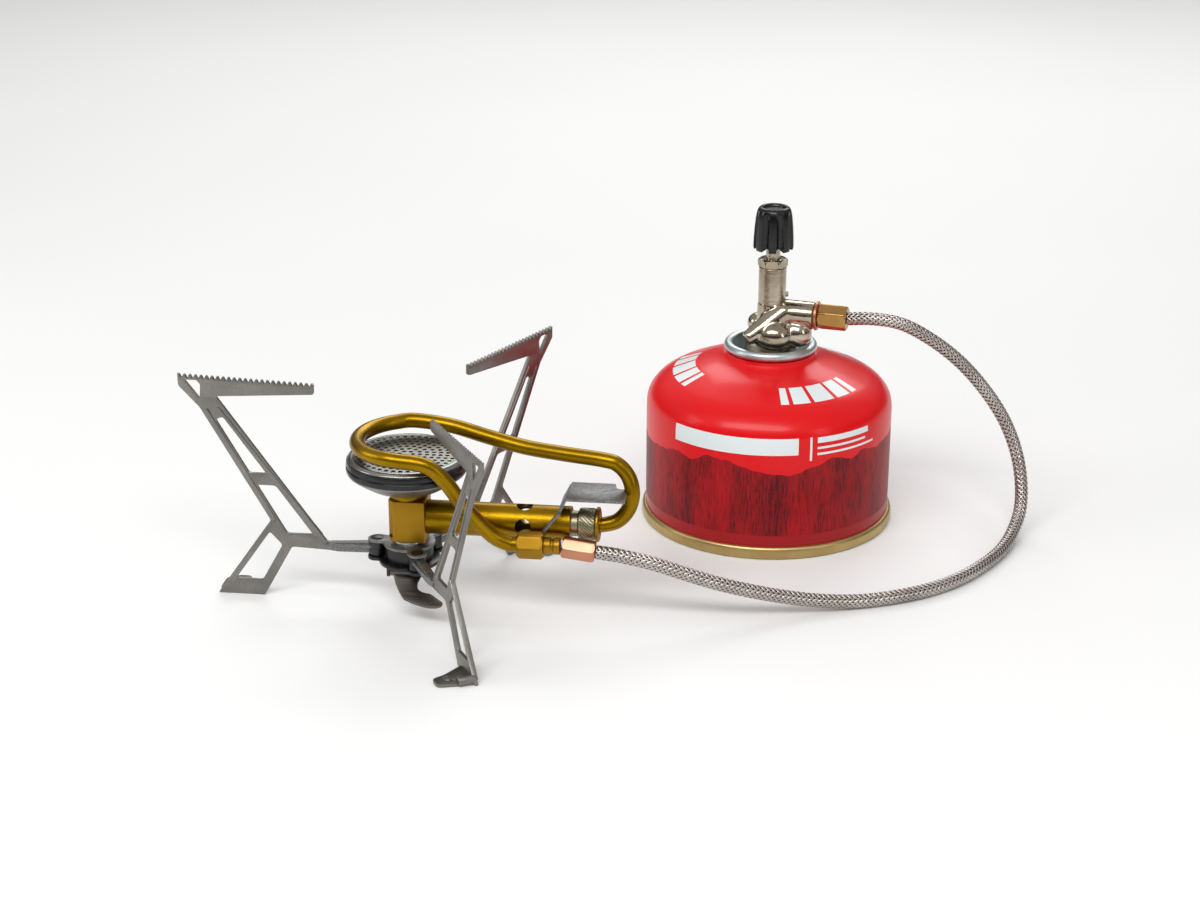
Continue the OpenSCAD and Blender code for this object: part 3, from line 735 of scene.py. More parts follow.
# %% Braid
def braid_tree(tree, given):
    """Bands along Z, woven two over two, then bent onto the curve that comes in."""
    length = tree.node("GeometryNodeCurveLength", {}, {"Curve": given["Geometry"]})[0]
    line = tree.node("GeometryNodeCurvePrimitiveLine", {}, {"End": (0.0, 0.0, 1.0)})
    fine = tree.node("GeometryNodeResampleCurve", {}, {"Curve": line[0], "Count": length / given["step"]})
    copies = tree.node("GeometryNodeDuplicateElements", {"domain": "SPLINE"},
                       {"Geometry": fine[0], "Amount": given["bands"]})
    number = copies[1]
    turn = number.maths("FLOORED_MODULO", 2.0) * 2 - 1
    band = (number / 2).maths("FLOOR")
    start = band * (4 * math.pi) / given["bands"]
    spot = tree.node("GeometryNodeSplineParameter")[0] * length
    wound = spot * (2 * math.pi) / given["pitch"]
    angle = start + turn * wound
    crossing = band * math.pi + turn * wound * (given["bands"] / 4) + math.pi / 4
    radius = given["radius"] + turn * crossing.maths("SINE") * given["lift"]
    laid = tree.node("GeometryNodeSetPosition", {}, {
        "Geometry": copies[0], "Position": tree.polar(radius, angle, spot)})
    upright = tree.node("GeometryNodeSetCurveNormal", {"mode": "Z_UP"}, {"Curve": laid[0]})
    round_bar = tree.node("GeometryNodeCurvePrimitiveCircle", {}, {"Resolution": 8, "Radius": 1.0})
    bar = tree.node("GeometryNodeTransform", {}, {
        "Geometry": round_bar[0], "Scale": tree.vector(given["thickness"], given["width"], 1.0)})
    woven = tree.node("GeometryNodeCurveToMesh", {}, {"Curve": upright[0], "Profile Curve": bar[0],
                                                      "Fill Caps": True})
    place = tree.node("ShaderNodeSeparateXYZ", {}, {0: tree.node("GeometryNodeInputPosition")[0]})
    guide = tree.node("GeometryNodeSampleCurve", {"mode": "LENGTH", "use_all_curves": True}, {
        "Curves": given["Geometry"], "Length": place[2]})
    flank = tree.node("ShaderNodeVectorMath", {"operation": "CROSS_PRODUCT"}, {0: guide["Tangent"],
                                                                              1: guide["Normal"]})[0]

    def scaled(direction, size):
        return tree.node("ShaderNodeVectorMath", {"operation": "SCALE"}, {0: direction, "Scale": size})[0]

    def summed(a, b):
        return tree.node("ShaderNodeVectorMath", {"operation": "ADD"}, {0: a, 1: b})[0]

    bent = summed(guide["Position"], summed(scaled(guide["Normal"], place[0]), scaled(flank, place[1])))
    return tree.node("GeometryNodeSetPosition", {}, {"Geometry": woven[0], "Position": bent})[0]


guide_curve = bpy.data.curves.new("guide", "CURVE")
guide_curve.dimensions = "3D"
guide_line = guide_curve.splines.new("POLY")
guide_points = smooth_route(HOSE_ROUTE, 6)
guide_line.points.add(len(guide_points) - 1)
for knot, spot in zip(guide_line.points, guide_points):
    knot.co = (*spot, 1)
braid_mesh = grow("braid", guide_curve, braid_tree, step=0.62, bands=16, pitch=14.5, radius=2.06, lift=0.17,
                  thickness=0.15, width=0.36, finish=BRAID)
hose_braid = finished("hose_braid", braid_mesh, "stove", None, edge=70)

# %% [markdown]
# ## The legs
# One leg is cut from a single sheet: a serrated pot support, a strut with windows, a shin and a bar to the
# hub. The three legs are the same part turned about the hub, so one function makes the plate in its own
# plane and each leg only turns it. A raised bead runs along the rails, as in pressed sheet. The hinge eye
# and the bar are darker than the strut, so a face takes its finish by how far from the hub it lies.

# %% Leg plate
LEG_T = 1.2
TIP = Vector((75, 77.4))
ARM_IN = 30


def leg_outline():
    """Points of distance from the hub and height, with teeth along the pot support."""
    under = [(24.6, 17.4), (39.8, 18.1), (50, 0.0), (66, 0.0), (46.6, 27.3), tuple(TIP - Vector((6.7, 11.2))),
             tuple(TIP - Vector((0, 4))), tuple(TIP)]
    teeth = 24
    pitch = (TIP.x - 1 - ARM_IN) / teeth
    rise = 1.7 / (TIP.x - ARM_IN)
    saw = []
    for i in reversed(range(teeth)):
        r = ARM_IN + 0.8 + i * pitch
        z = TIP.y - 1.7 + rise * (r - ARM_IN)
        saw += [(r + 0.75 * pitch, z), (r + 0.42 * pitch, z - 1.15), (r + 0.28 * pitch, z - 1.15), (r, z)]
    inner = [(ARM_IN, TIP.y - 1.9), (ARM_IN, TIP.y - 5.4), tuple(TIP + Vector((-12.4, -7.3))), (27.8, 20.5),
             (24.6, 20.5)]
    return rounded(under, 0.8, 3, closed=False) + saw + rounded(inner, 0.8, 3, closed=False)


def rail(start, end, offset, first, last):
    """Points on a line beside the edge from start to end, at two heights."""
    along = (Vector(end) - Vector(start)).normalized()
    shift = Vector(start) + Vector((-along.y, along.x)) * offset
    return [tuple(shift + along * ((z - shift.y) / along.y)) for z in (first, last)]


def leg_windows():
    knee, kink = (46.6, 27.3), TIP - Vector((6.7, 11.2))
    root, armpit = (27.8, 20.5), TIP + Vector((-12.4, -7.3))
    upper = rail(root, armpit, -2.5, 43.8, 63.1) + rail(knee, kink, 2.5, 62.1, 43.8)
    lower = rail(root, armpit, -2.5, 22.8, 39.7) + rail(knee, kink, 2.5, 39.7, 22.8)
    shin = rail((39.8, 18.1), (50, 0), 3.1, 5.4, 18.6) + rail((46.6, 27.3), (66, 0), -2.0, 23.1, 5.8)
    slot = [tuple(TIP - Vector(p)) for p in ((2.2, 2), (6.2, 2), (7.4, 3.4), (7, 8.2))]
    return [rounded(shape, 0.9, 3) for shape in (upper, lower, shin)] + [rounded(slot, 0.4, 2)]


def bead(points, width, height):
    """A soft raised bead along a polyline on the plate, standing out on both faces."""
    shapes = []
    for a, b in zip(points, points[1:]):
        a, b = Vector(a), Vector(b)
        along = (b - a).normalized()
        across = Vector((-along.y, along.x)) * width / 2
        shapes.append(sheet([a - across, b - across, b + across, a + across], [], LEG_T + 2 * height, 0.14))
    return joined(*shapes)


def leg_plate():
    """The whole leg in its own plane, turned upright, with its arm, toe and hinge eye."""
    upright = spun(90, "X")
    plate = moved(sheet(leg_outline(), leg_windows(), LEG_T, 0.14), upright)
    beads = moved(bead([(64.6, 1.6), (44.9, 27.6), (65.9, 65.6)], 0.7, 0.28), upright)
    inner_bead = moved(bead([(29.6, 22.6), (62.0, 66.4)], 0.6, 0.22), upright)
    bar = moved(sheet(rounded([(12, 17.5), (23.6, 17.3), (26.4, 17.6), (28.6, 18.0), (28.6, 19.8),
                               (26.4, 20.5), (23.6, 20.6), (12, 21.4)], 0.5, 3), [], 2.3, 0.3), upright)
    shelf = moved(sheet([(HINGE_R, -2.3), (24.5, -1.7), (27, -0.5), (27, 0.5), (24.5, 1.7), (HINGE_R, 2.3)],
                        [], 0.9, 0.2), at(0, 0, 20.6) @ Matrix.Rotation(0.035, 4, "Y"))
    foot_mid = 60
    toe = sheet(rounded([(51.8, 0.4), (65.2, 0.4), (foot_mid + 3.4, -7.6), (foot_mid + 2.4, -11.8),
                         (foot_mid - 2.4, -11.8), (foot_mid - 3.4, -7.6)], 1.6, 5),
                [circle(foot_mid - 0.5, -7.4, 1.2)], LEG_T, 0.2)
    toe = moved(toe, at(0, 0, LEG_T / 2))
    dimple = moved(turned([(0, 0), (2.1, 0), (2.0, 0.22), (1.5, 0.42), (0.8, 0.5), (0, 0.52)], 40),
                   at(foot_mid, -4.2, LEG_T))
    curl = moved(lathe([(0.0, -3.0), (1.5, -3.0), (1.5, 3.0), (0.0, 3.0)], 0.5, 3, sides=32),
                 at(63.6, -2.6, 1.6) @ spun(90, "X"))
    eye = moved(turned(ring_profile(2.75, 1.52, 0, 4.4, 0.3), 48), at(HINGE_R, 0, 17.2))
    return joined(plate, beads, inner_bead, bar, shelf, toe, dimple, curl, eye)


EYE_END, ARM_END = 13.9, 27.4
BODIES = {"leg_left": "stove", "leg_back": "leg_back", "leg_front": "leg_front"}
for name, turn in LEG_TURNS.items():
    where = (AT_HUB @ spun(turn, "Z")
             @ at(0, -SIDE_STEP, 0))
    plate = leg_plate()
    painted(plate, LEG_STEEL, SPECKLED, DARK_STEEL)
    for face in plate.polygons:
        face.material_index = 2 if face.center.x < EYE_END else 1 if face.center.x < ARM_END else 0
    finished(name + "_plate", plate, BODIES[name], None, [name], where, edge=30)

# %% [markdown]
# ## The hub
# Under the block sit a bright washer, a three-lobed plate and a dark pressed cup with lugs for the lock
# lever. Rivets with low heads hold the legs. These are small, so they are turned or cut as the real ones.

# %% Hub plate, cup, washer and rivets
def lobed(core, lobe, reach):
    """The hub's outline: a disc with a rounded lobe for each leg."""
    points = []
    for k in range(180):
        a = 2 * math.pi * k / 180
        r = core
        for turn in LEG_TURNS.values():
            off = a - math.radians(turn)
            side = reach * math.sin(off) + SIDE_STEP
            if abs(side) < lobe and math.cos(off) > 0:
                r = max(r, reach * math.cos(off) + math.sqrt(lobe * lobe - side * side))
        points.append(polar(r, a))
    return points


plate_low, plate_high = low("hub_plate").z, high("hub_plate").z
hub_sheet = sheet(lobed(8.6, 3.1, HINGE_R), [circle(0, 0, BOLT_HOLE)], plate_high - plate_low, 0.25)
finished("hub_plate_cut", hub_sheet, "stove", SPECKLED, ["hub_plate"],
         AT_HUB @ at(0, 0, (plate_low + plate_high) / 2))
cup_z = 16
cup_wall = rounded([(6.0, cup_z + 0.6), (7.85, cup_z + 0.6), (7.85, plate_low), (6.8, plate_low),
                    (6.6, cup_z + 1.4), (6.0, cup_z + 1.4)], 0.4, 3)
cup_holes = [circle(0, 0, BOLT_HOLE), circle(-1.5, -8.2, 0.5, 12)]
cup_base = moved(sheet(lobed(10.2, 3.3, HINGE_R), cup_holes, 1.5, 0.5), at(0, 0, cup_z + 0.25))
lugs = [moved(prism(rounded([(-1.6, 12.2), (1.6, 12.2), (1.6, cup_z + 0.4), (-1.6, cup_z + 0.4)], 0.8, 4),
                    -0.5, 0.5, 0.12),
              at(s * 6.0, -5.3, 0) @ Matrix(((0, 0, 1, 0), (1, 0, 0, 0), (0, 1, 0, 0),
                                                              (0, 0, 0, 1))))
        for s in (-1, 1)]
finished("hub_cup_pressed", joined(turned(cup_wall), cup_base, *lugs), "stove", DARK_STEEL,
         ["hub_cup"], AT_HUB)
finished("hub_washer_turned", lathe([(2.1, low("hub_washer").z), (5.3, low("hub_washer").z),
                                              (5.3, high("hub_washer").z - 0.6),
                                              (4.6, high("hub_washer").z), (2.1, high("hub_washer").z)],
                                             0.35, 4),
         "stove", BRIGHT_STEEL, ["hub_washer"], AT_HUB)
rivets = []
for turn in LEG_TURNS.values():
    top = plate_high
    head = turned([(0, 15.3), (1.7, 15.3), (2.3, 15.7), (2.35, 16.02), (1.5, 16.05), (1.5, top),
                   (2.1, top), (2.05, top + 0.2), (1.6, top + 0.4), (0.9, top + 0.5), (0, top + 0.5)], 40)
    spin = spun(turn, "Z") @ at(HINGE_R, -SIDE_STEP, 0)
    rivets.append(moved(head, spin))
finished("rivets_domed", joined(*rivets), "stove", DARK_STEEL, ["leg_rivets"], AT_HUB)


# %% Lock lever
LEVER_LEAN, LEVER_BOW = 50, 1.6


def lever_leaf():
    """A leaf cut from sheet, sliced across and then bowed, steep at its pin and flatter at its end."""
    outline = rounded([(-5.2, 0.9), (5.2, 0.9), (4.9, -2.0), (4.1, -4.2), (4.5, -6.6), (6.2, -7.9),
                       (9.2, -8.4), (13.9, -12.0), (13.3, -13.5), (11.4, -14.2), (8.6, -14.1),
                       (4.4, -12.8), (0.4, -10.9), (-1.6, -7.8), (-3.3, -4.4)], 0.9, 4)
    leaf = sheet(outline, [], 1.0, 0.22)
    bm = bmesh.new()
    bm.from_mesh(leaf)
    for k in range(-14, 1):
        bmesh.ops.bisect_plane(bm, geom=bm.verts[:] + bm.edges[:] + bm.faces[:], plane_co=(0, k, 0),
                               plane_no=(0, 1, 0))
    for vert in bm.verts:
        s, off = -vert.co.y, vert.co.z
        lean = math.radians(LEVER_LEAN + LEVER_BOW * s)
        mean = math.radians(LEVER_LEAN + LEVER_BOW / 2 * s)
        vert.co = (vert.co.x, -s * math.sin(mean) - off * math.cos(lean),
                   -s * math.cos(mean) + off * math.sin(lean))
    return mesh_from(bm)


LEVER_AT = mid("lever_pin")
barrel = moved(turned(ring_profile(1.6, 0.85, -5.3, 5.3, 0.3), 40), spun(90, "Y"))
finished("lock_lever_leaf", joined(lever_leaf(), barrel), "lever", LEVER_STEEL,
         ["lock_lever"], Matrix.Translation(LEVER_AT))

# %% [markdown]
# ## Block, neck and burner
# The block is machined and anodised gold. The burner above it is pressed and turned: a satin bowl, a band
# painted dark as a reflection, with a fine groove, a polished bevel and a plate with seven rings of ports.
# The ports repeat by a rule, so nodes work out each one's ring and angle from its number and cut them all at
# once.

# %% Block and neck
block_low, block_high = low("elbow_block"), high("elbow_block")
corner = 1.8
block = prism([(-5.7, 6), (-5.7, corner - 6), (corner - 5.7, -6), (6.5, -6), (6.5, 6)], block_low.z,
              block_high.z, 0.28, 3)
drill = moved(turned([(0, -2), (0.75, -2), (0.75, 3), (0, 3)], 24),
              at(-4.8, -5.1, block_low.z + 1.9) @ spun(-45, "Z")
              @ spun(90, "X"))
finished("elbow_block_cut", carved(block, drill), "stove", GOLD_FINE, ["elbow_block"],
         AT_HUB)
neck_z, bowl_z, rim_z = low("burner_neck").z, low("burner_cup").z, high("burner_cup").z
finished("burner_neck_turned",
         lathe([(3.2, neck_z), (5.9, neck_z), (5.9, neck_z + 1.6), (4.3, neck_z + 1.7),
                         (4.2, bowl_z + 0.7), (3.2, bowl_z + 0.7)], 0.3, 3),
         "stove", GOLD, ["burner_neck"], AT_HUB)

# %% Bowl, band and bevel
bowl_side = smooth_route([(8.3, bowl_z + 0.5), (12, bowl_z + 1.7), (15.2, bowl_z + 3.6),
                          (17.8, bowl_z + 5.4), (19.3, rim_z - 0.4), (19.5, rim_z + 0.1)], 4)
bowl = ([Vector((4.2, bowl_z))] + bowl_side
        + [Vector(p) for p in ((18.4, rim_z + 0.1), (17.2, rim_z - 0.8), (14.6, bowl_z + 4.2),
                               (8.0, bowl_z + 1.4), (4.2, bowl_z + 0.8))])
finished("burner_bowl", turned([(p[0], p[1]) for p in bowl], 128), "stove", BOWL_STEEL,
         ["burner_cup"], AT_HUB)
band_top = high("burner_band").z
band = rounded([(18.4, rim_z), (19.5, rim_z), (19.8, rim_z + 0.7), (19.8, rim_z + 1.9), (19.4, rim_z + 2.05),
                (19.4, rim_z + 2.35), (19.75, rim_z + 2.5), (19.5, rim_z + 4.2), (18.9, rim_z + 4.4),
                (17.4, rim_z + 4.4), (17.2, rim_z + 2)], 0.2, 3)
# The band's dark colour is a painted reflection.
finished("burner_band_turned", turned(band, 128), "stove", BAND_REFLECTION, ["burner_band"],
         AT_HUB)
bevel = rounded([(18.0, rim_z + 4.2), (19.25, rim_z + 4.3), (19.25, rim_z + 4.55),
                 (18.3, band_top - 0.05), (17.7, band_top), (16.95, band_top), (16.95, band_top - 0.9),
                 (17.3, band_top - 1.2)], 0.2, 4)
finished("burner_bevel", turned(bevel, 128), "stove", BEVEL_STEEL, (), AT_HUB)


# %% Flame plate
def ports_tree(tree, given):
    """Ring i holds six times i ports; a port's number gives its ring and its angle."""
    number = tree.node("GeometryNodeInputIndex")[0]
    root = ((number + 1) * (4 / 3) + 1).maths("SQRT")
    ring = ((root - 1) / 2 - 1e-4).maths("CEIL")
    angle = (number - ring * (ring - 1) * 3) * (math.pi / 3) / ring
    reach = ring * given["spacing"]
    count = given["rings"] * (given["rings"] + 1) * 3
    dots = tree.node("GeometryNodePoints", {}, {
        "Count": count, "Position": tree.polar(reach, angle, given["height"])})
    pin = tree.node("GeometryNodeMeshCylinder", {}, {"Vertices": 14, "Radius": given["port"], "Depth": 4.0})
    pins = tree.node("GeometryNodeInstanceOnPoints", {}, {"Points": dots[0], "Instance": pin[0]})
    real = tree.node("GeometryNodeRealizeInstances", {}, {"Geometry": pins[0]})
    return tree.node("GeometryNodeMeshBoolean", {"operation": "DIFFERENCE", "solver": "EXACT"},
                     {"Mesh 1": given["Geometry"], "Mesh 2": real[0]})[0]


plate_z = high("flame_plate").z
disc = lathe([(0, plate_z - 0.8), (17.0, plate_z - 0.8), (17.0, plate_z), (0, plate_z)], 0.12, 2,
                      closed=False, sides=128)
plate_mesh = grow("ports", disc, ports_tree, rings=7, spacing=2.25, port=0.74, height=plate_z,
                  finish=PLATE_STEEL)
finished("flame_plate_pierced", plate_mesh, "stove", None, ["flame_plate"], AT_HUB)

# %% [markdown]
# ## Mixing tube, jet holder and flange
# The tube draws air through four holes, and its bore is painted dark as shade. The jet holder behind it is
# knurled so that it can be turned by hand. A knurl is one ridge laid at a slant and repeated round the
# ring, so nodes make a single helix from a sine and a cosine, and the count is just another input.

# %% Mixing tube
MIX_BORE, MIX_R, MIX_LENGTH = 4.9, 5.6, 47.5
SHADED_BORE_R = 5.1
AIR_R, AIR_AT = 2.7, 32.2
tube_mesh = lathe([(MIX_BORE, 0), (MIX_R, 0), (MIX_R, MIX_LENGTH), (MIX_BORE, MIX_LENGTH)], 0.25, 3)
for turn in (0, 90):
    drill = moved(turned([(0, -8), (AIR_R, -8), (AIR_R, 8), (0, 8)], 40),
                  at(0, 0, AIR_AT) @ spun(turn, "Z")
                  @ spun(90, "X"))
    tube_mesh = carved(tube_mesh, drill)
# Faces inside the bore take the painted shade; the rest take the gold.
painted(tube_mesh, GOLD, BORE_SHADE)
for face in tube_mesh.polygons:
    face.material_index = int(face.center.xy.length < SHADED_BORE_R)
finished("mixing_tube_drilled", tube_mesh, "stove", None, ["mixing_tube"],
         AT_HUB @ along_x((6.5, 0, MIX_Z)))


# %% Knurled jet holder
def knurl_tree(tree, given):
    """Slanting ridges round a ring along Z."""
    line = tree.node("GeometryNodeCurvePrimitiveLine", {}, {"End": (0.0, 0.0, 1.0)})
    fine = tree.node("GeometryNodeResampleCurve", {}, {"Curve": line[0], "Count": 9})
    copies = tree.node("GeometryNodeDuplicateElements", {"domain": "SPLINE"},
                       {"Geometry": fine[0], "Amount": given["ridges"]})
    along = tree.node("GeometryNodeSplineParameter")[0]
    angle = copies[1] * (2 * math.pi) / given["ridges"] + along * given["slant"]
    fade = 1 - (along * 2 - 1).maths("POWER", 8.0)
    radius = given["radius"] - 0.22 + fade * 0.22
    laid = tree.node("GeometryNodeSetPosition", {}, {
        "Geometry": copies[0],
        "Position": tree.polar(radius, angle, given["start"] + along * given["length"])})
    bar = tree.node("GeometryNodeCurvePrimitiveCircle", {}, {"Resolution": 6, "Radius": given["ridge"]})
    bars = tree.node("GeometryNodeCurveToMesh", {}, {"Curve": laid[0], "Profile Curve": bar[0],
                                                     "Fill Caps": True})
    return tree.node("GeometryNodeJoinGeometry", {}, {"Geometry": bars[0]})[0]


holder_core = lathe([(2.0, -3), (4.85, -3), (4.85, 0), (4.2, 0.2), (4.2, 2.4), (5.05, 2.6),
                              (5.05, 7.9), (2.0, 7.9)], 0.3, 3, sides=96)
knurl = grow("knurl", bpy.data.meshes.new("empty"), knurl_tree, ridges=32, slant=0.9, radius=4.98, start=2.75,
             length=5.0, ridge=0.36, finish=KNURLED)
finished("jet_holder_knurled", joined(holder_core, knurl), "stove", KNURLED, ["jet_holder"],
         AT_HUB @ along_x((54, 0, MIX_Z)), edge=50)
finished("jet_flange_turned",
         lathe([(2.62, 0.3), (3.0, 0), (5.3, 0), (5.75, 0.3), (5.75, 1.0), (5.2, 1.3), (2.9, 1.3),
                         (2.62, 1.1)], 0.2, 3),
         "stove", GOLD_FINE, ["jet_flange"], AT_HUB @ along_x((62, 0, MIX_Z)))

# %% [markdown]
# ## The preheat tube
# The tube leaves the jet, bows up and back, loops round over the burner and comes down to its fitting. Its
# points are the engineering model's own route, rounded the same way, so it sits exactly in its place.

# %% Preheat tube
TUBE_X, TUBE_R = 62.6, 2.5
BOW_OUT, BOW_R, BOW_SIDE, BOW_RISE = 1.5, 9.5, 1.5, 10.7
LOOP_X, LOOP_R, LOOP_RISE = 3, 18.7, 26.4


def bow(a):
    share = 1 + math.sin(a)
    return (TUBE_X + BOW_OUT + BOW_R * math.cos(a), BOW_SIDE * share, MIX_Z + BOW_RISE * share)


def loop(a):
    x, y = polar(LOOP_R, a)
    return (LOOP_X + x, y, MIX_Z + LOOP_RISE)


FIT = Vector((37.6, -9.6, 27.4))
PREHEAT_ROUTE = ([(TUBE_X, 0, MIX_Z)] + [bow(math.radians(a)) for a in range(-90, 91, 30)]
                 + [(50, 6.5, 53.2), (37, 10.5, 53.4), (24, 14.2, 55.1), (12, 17.4, 57)]
                 + [loop(math.radians(a)) for a in range(100, 261, 20)]
                 + [(10, -18.2, 56.5), (16.2, -16.6, 50.3), (20.5, -14.7, 42.8), (25.2, -12.6, 36),
                    (30.2, -10.6, 30), FIT - Vector((2.6, 0, 0)), FIT - Vector((0.7, 0, 0)), FIT])
finished("preheat_tube_bent", tube(smooth_route(PREHEAT_ROUTE, 8), TUBE_R, 36), "stove",
         GOLD, ["preheat_tube"], AT_HUB)

# %% [markdown]
# ## Bracket and fittings
# A sheet bracket reaches over the jet, and its notch steadies the tube. The fittings are hexagons with
# turned corners: gold on the tube, copper on the hose and brass at the valve.

# %% Bracket
SHELF_Z = MIX_Z + 10.8


def notch(x, y, radius, first, last, steps=10):
    return arc(x, y, radius, [math.radians(first + (last - first) * k / steps) for k in range(steps + 1)])


shelf = sheet(rounded([(53.2, -8), (72.2, -8), (72.2, -1.0)], 0.5, 3, closed=False)
              + notch(73.6, 1.5, 2.75, 238, 148)
              + notch(69.8, 4.3, 1.7, 0, -180)
              + [(67.6, 7), (53.2, 7)], [], 0.9, 0.12)
slope = prism([(52.6, SHELF_Z), (53.7, SHELF_Z + 0.9), (51.4, 38.2), (50.3, 38.0)], -7, 8, 0.12)
strip = prism([(45.2, 31.4), (46.4, 31.4), (51.5, 38.2), (50.4, 38.2)], 6.1, 8.6, 0.12)
on_side = spun(90, "X")
finished("tube_bracket_bent",
         joined(moved(shelf, at(0, 0, SHELF_Z + 0.45)), moved(slope, on_side),
                moved(strip, on_side)),
         "stove", SPECKLED, ["tube_bracket"], AT_HUB)

# %% Fittings at the burner
finished("tube_fitting_hex", hexagon(4.6, 8.6, 0.8), "stove", GOLD_FINE, ["tube_fitting"],
         AT_HUB @ Matrix.Translation(FIT) @ spun(30, "X"))
finished("fitting_neck_turned",
         lathe([(1, 0), (2.75, 0), (2.75, 2.2), (2.3, 2.5), (2.3, 3.1), (2.75, 3.4), (2.75, 5.3),
                         (1, 5.3)], 0.2, 3),
         "stove", GOLD_FINE, ["fitting_neck"], AT_HUB @ along_x(FIT + Vector((8.6, 0, 0))))
ferrule = finished("burner_ferrule_hex", hexagon(3.7, 10.8, 0.6), "stove", COPPER,
                   ["burner_ferrule"], AT_HUB @ at(52.0, -8.6, 26.9)
                   @ spun(7, "Y") @ spun(19, "X"))

# %% Fittings at the valve
AT_OUTLET = at(*CAN.xy, OUTLET_Z) @ spun(OUTLET_TURN, "Z")
valve_ferrule = finished("valve_ferrule_hex", hexagon(4.6, 10.2, 0.8), "stove", BRASS,
                         ["valve_ferrule"], AT_OUTLET @ at(17, 0, 0))
finished("outlet_washer_turned", turned(ring_profile(5.1, 1, 15.85, 16.95, 0.4)), "stove", COPPER,
         ["outlet_washer"], AT_OUTLET @ spun(90, "Y"))

# %% [markdown]
# ## The valve
# The valve's foot is a casting: lumps that run into one another, plated with nickel. Such a shape is made
# by overlapping simple solids, remeshing them into one skin and smoothing it, which rounds every inner
# corner as a mould does.

# %% Cast body
def ball(x, y, z, rx, ry, rz):
    bm = bmesh.new()
    bmesh.ops.create_icosphere(bm, subdivisions=4, radius=1)
    return moved(mesh_from(bm), at(x, y, z) @ Matrix.Diagonal((rx, ry, rz, 1)))


def rod(a, b, r1, r2):
    """A tapering rod between two points."""
    a, b = Vector(a), Vector(b)
    length = (b - a).length
    profile = rounded([(0, 0), (r1, 0), (r2, length), (0, length)], 0.9, 3, closed=False)
    turn = (b - a).to_track_quat("Z", "Y").to_matrix().to_4x4()
    return moved(turned(profile, 48), Matrix.Translation(a) @ turn)


STUB_TOP = high("canister_stub").z
outlet_end = spun(OUTLET_TURN, "Z") @ Vector((15.8, 0, OUTLET_Z))
lumps = joined(
    rod((0, 0, STUB_TOP - 7), (0, 0, STUB_TOP + 1.2), 9.6, 8.6),
    rod((0, 0, STUB_TOP), (0, 0, OUTLET_Z + 4.2), 5.4, 5.0),
    rod((0, 0, OUTLET_Z), outlet_end, 4.9, 4.75),
    ball(1.4, -6.2, STUB_TOP + 3.0, 6.4, 5.4, 5.4),
    ball(9.0, -3.4, STUB_TOP + 3.4, 5.6, 5.0, 5.4),
    ball(-4.4, 9.4, STUB_TOP + 2.8, 4.6, 4.4, 3.8),
    rod((5.0, -1.6, OUTLET_Z + 0.9), (-8.2, -9.1, STUB_TOP + 2.2), 4.6, 2.6),
    rod((2.5, -3.4, OUTLET_Z - 2.6), (-5.4, -7.6, STUB_TOP + 1.8), 4.2, 2.8))
skin = modified(lumps, "REMESH", {"mode": "VOXEL", "voxel_size": 0.36})
skin = modified(skin, "SMOOTH", {"factor": 0.5, "iterations": 14})
finished("valve_body_cast", skin, "stove", NICKEL, ["valve_body"], AT_CAN, edge=80)

# %% Tube, gland nut and spindle
# The tube shows a little more of itself than in the engineering model, and the nut a little less.
tube_z, tube_top = low("valve_tube").z, high("valve_tube").z
NUT_SPLIT = tube_top + 2.1
upright_tube = lathe([(2.55, tube_z - 2), (4.85, tube_z - 2), (4.85, NUT_SPLIT), (2.55, NUT_SPLIT)],
                              0.25, 3)
nub = moved(lathe([(0, 0), (1.1, 0), (1.0, 1.3), (0, 1.3)], 0.3, 3, closed=False, sides=24),
            spun(20, "Z") @ at(4.5, 0, tube_z + 1.5)
            @ spun(90, "Y"))
finished("valve_tube_turned", joined(upright_tube, nub), "stove", NICKEL, ["valve_tube"], AT_CAN)
nut_height = high("gland_nut").z - NUT_SPLIT
finished("gland_nut_hex", hexagon(5.25, nut_height, 0.35), "stove", NICKEL, ["gland_nut"],
         AT_CAN @ at(0, 0, NUT_SPLIT) @ spun(-90, "Y"))
spindle_low, spindle_high = low("spindle").z, high("spindle").z
finished("spindle_turned",
         lathe([(0, spindle_low), (0.5, spindle_low), (1.4, spindle_low + 2), (2.5, spindle_low + 2.4),
                         (2.5, spindle_high), (0, spindle_high)], 0.2, 2, closed=False, sides=48),
         "spindle", NICKEL, ["spindle"], AT_CAN)


# %% Knob
FLUTES, KNOB_R, FLUTE_DEPTH, KNOB_BORE = 8, 7.05, 1.15, 2.56


def knob_mesh(foot, top, sides=160):
    """Eight flutes between ribs that reach lower than they do, and a recessed top with a round rim."""
    height = top - foot
    shape = [(0.0, 0.955), (0.3, 0.985), (1.2, 1.0), (height * 0.3, 0.985), (height * 0.55, 0.95),
             (height * 0.75, 0.905), (height * 0.86, 0.865), (height * 0.93, 0.82), (height * 0.975, 0.76),
             (height, 0.68), (height, 0.60), (height * 0.985, 0.55), (height - 0.9, 0.52), (height - 1, 0.2),
             (height - 1, 0.0)]
    bm = bmesh.new()
    rings = []
    for z, share in shape:
        fade = max(0.0, min(1.0, (height * 0.93 - z) / (height * 0.22)))
        ring = []
        for k in range(sides):
            a = 2 * math.pi * k / sides
            flute = max(0.0, math.cos(FLUTES * a + math.pi)) ** 0.7
            r = KNOB_R * share - FLUTE_DEPTH * flute * fade
            lift = 1.3 * flute * max(0.0, 1 - z / 2.5)
            ring.append(bm.verts.new((*polar(r, a), foot + z + lift)))
        rings.append(ring)
    inner = [bm.verts.new((*polar(KNOB_BORE, 2 * math.pi * k / sides), foot + 0.8)) for k in range(sides)]
    rings.insert(0, inner)
    return walled(bm, rings, [0])


finished("control_knob_fluted", knob_mesh(low("control_knob").z, high("control_knob").z), "knob",
         BLACK, ["control_knob"], AT_CAN, edge=50)

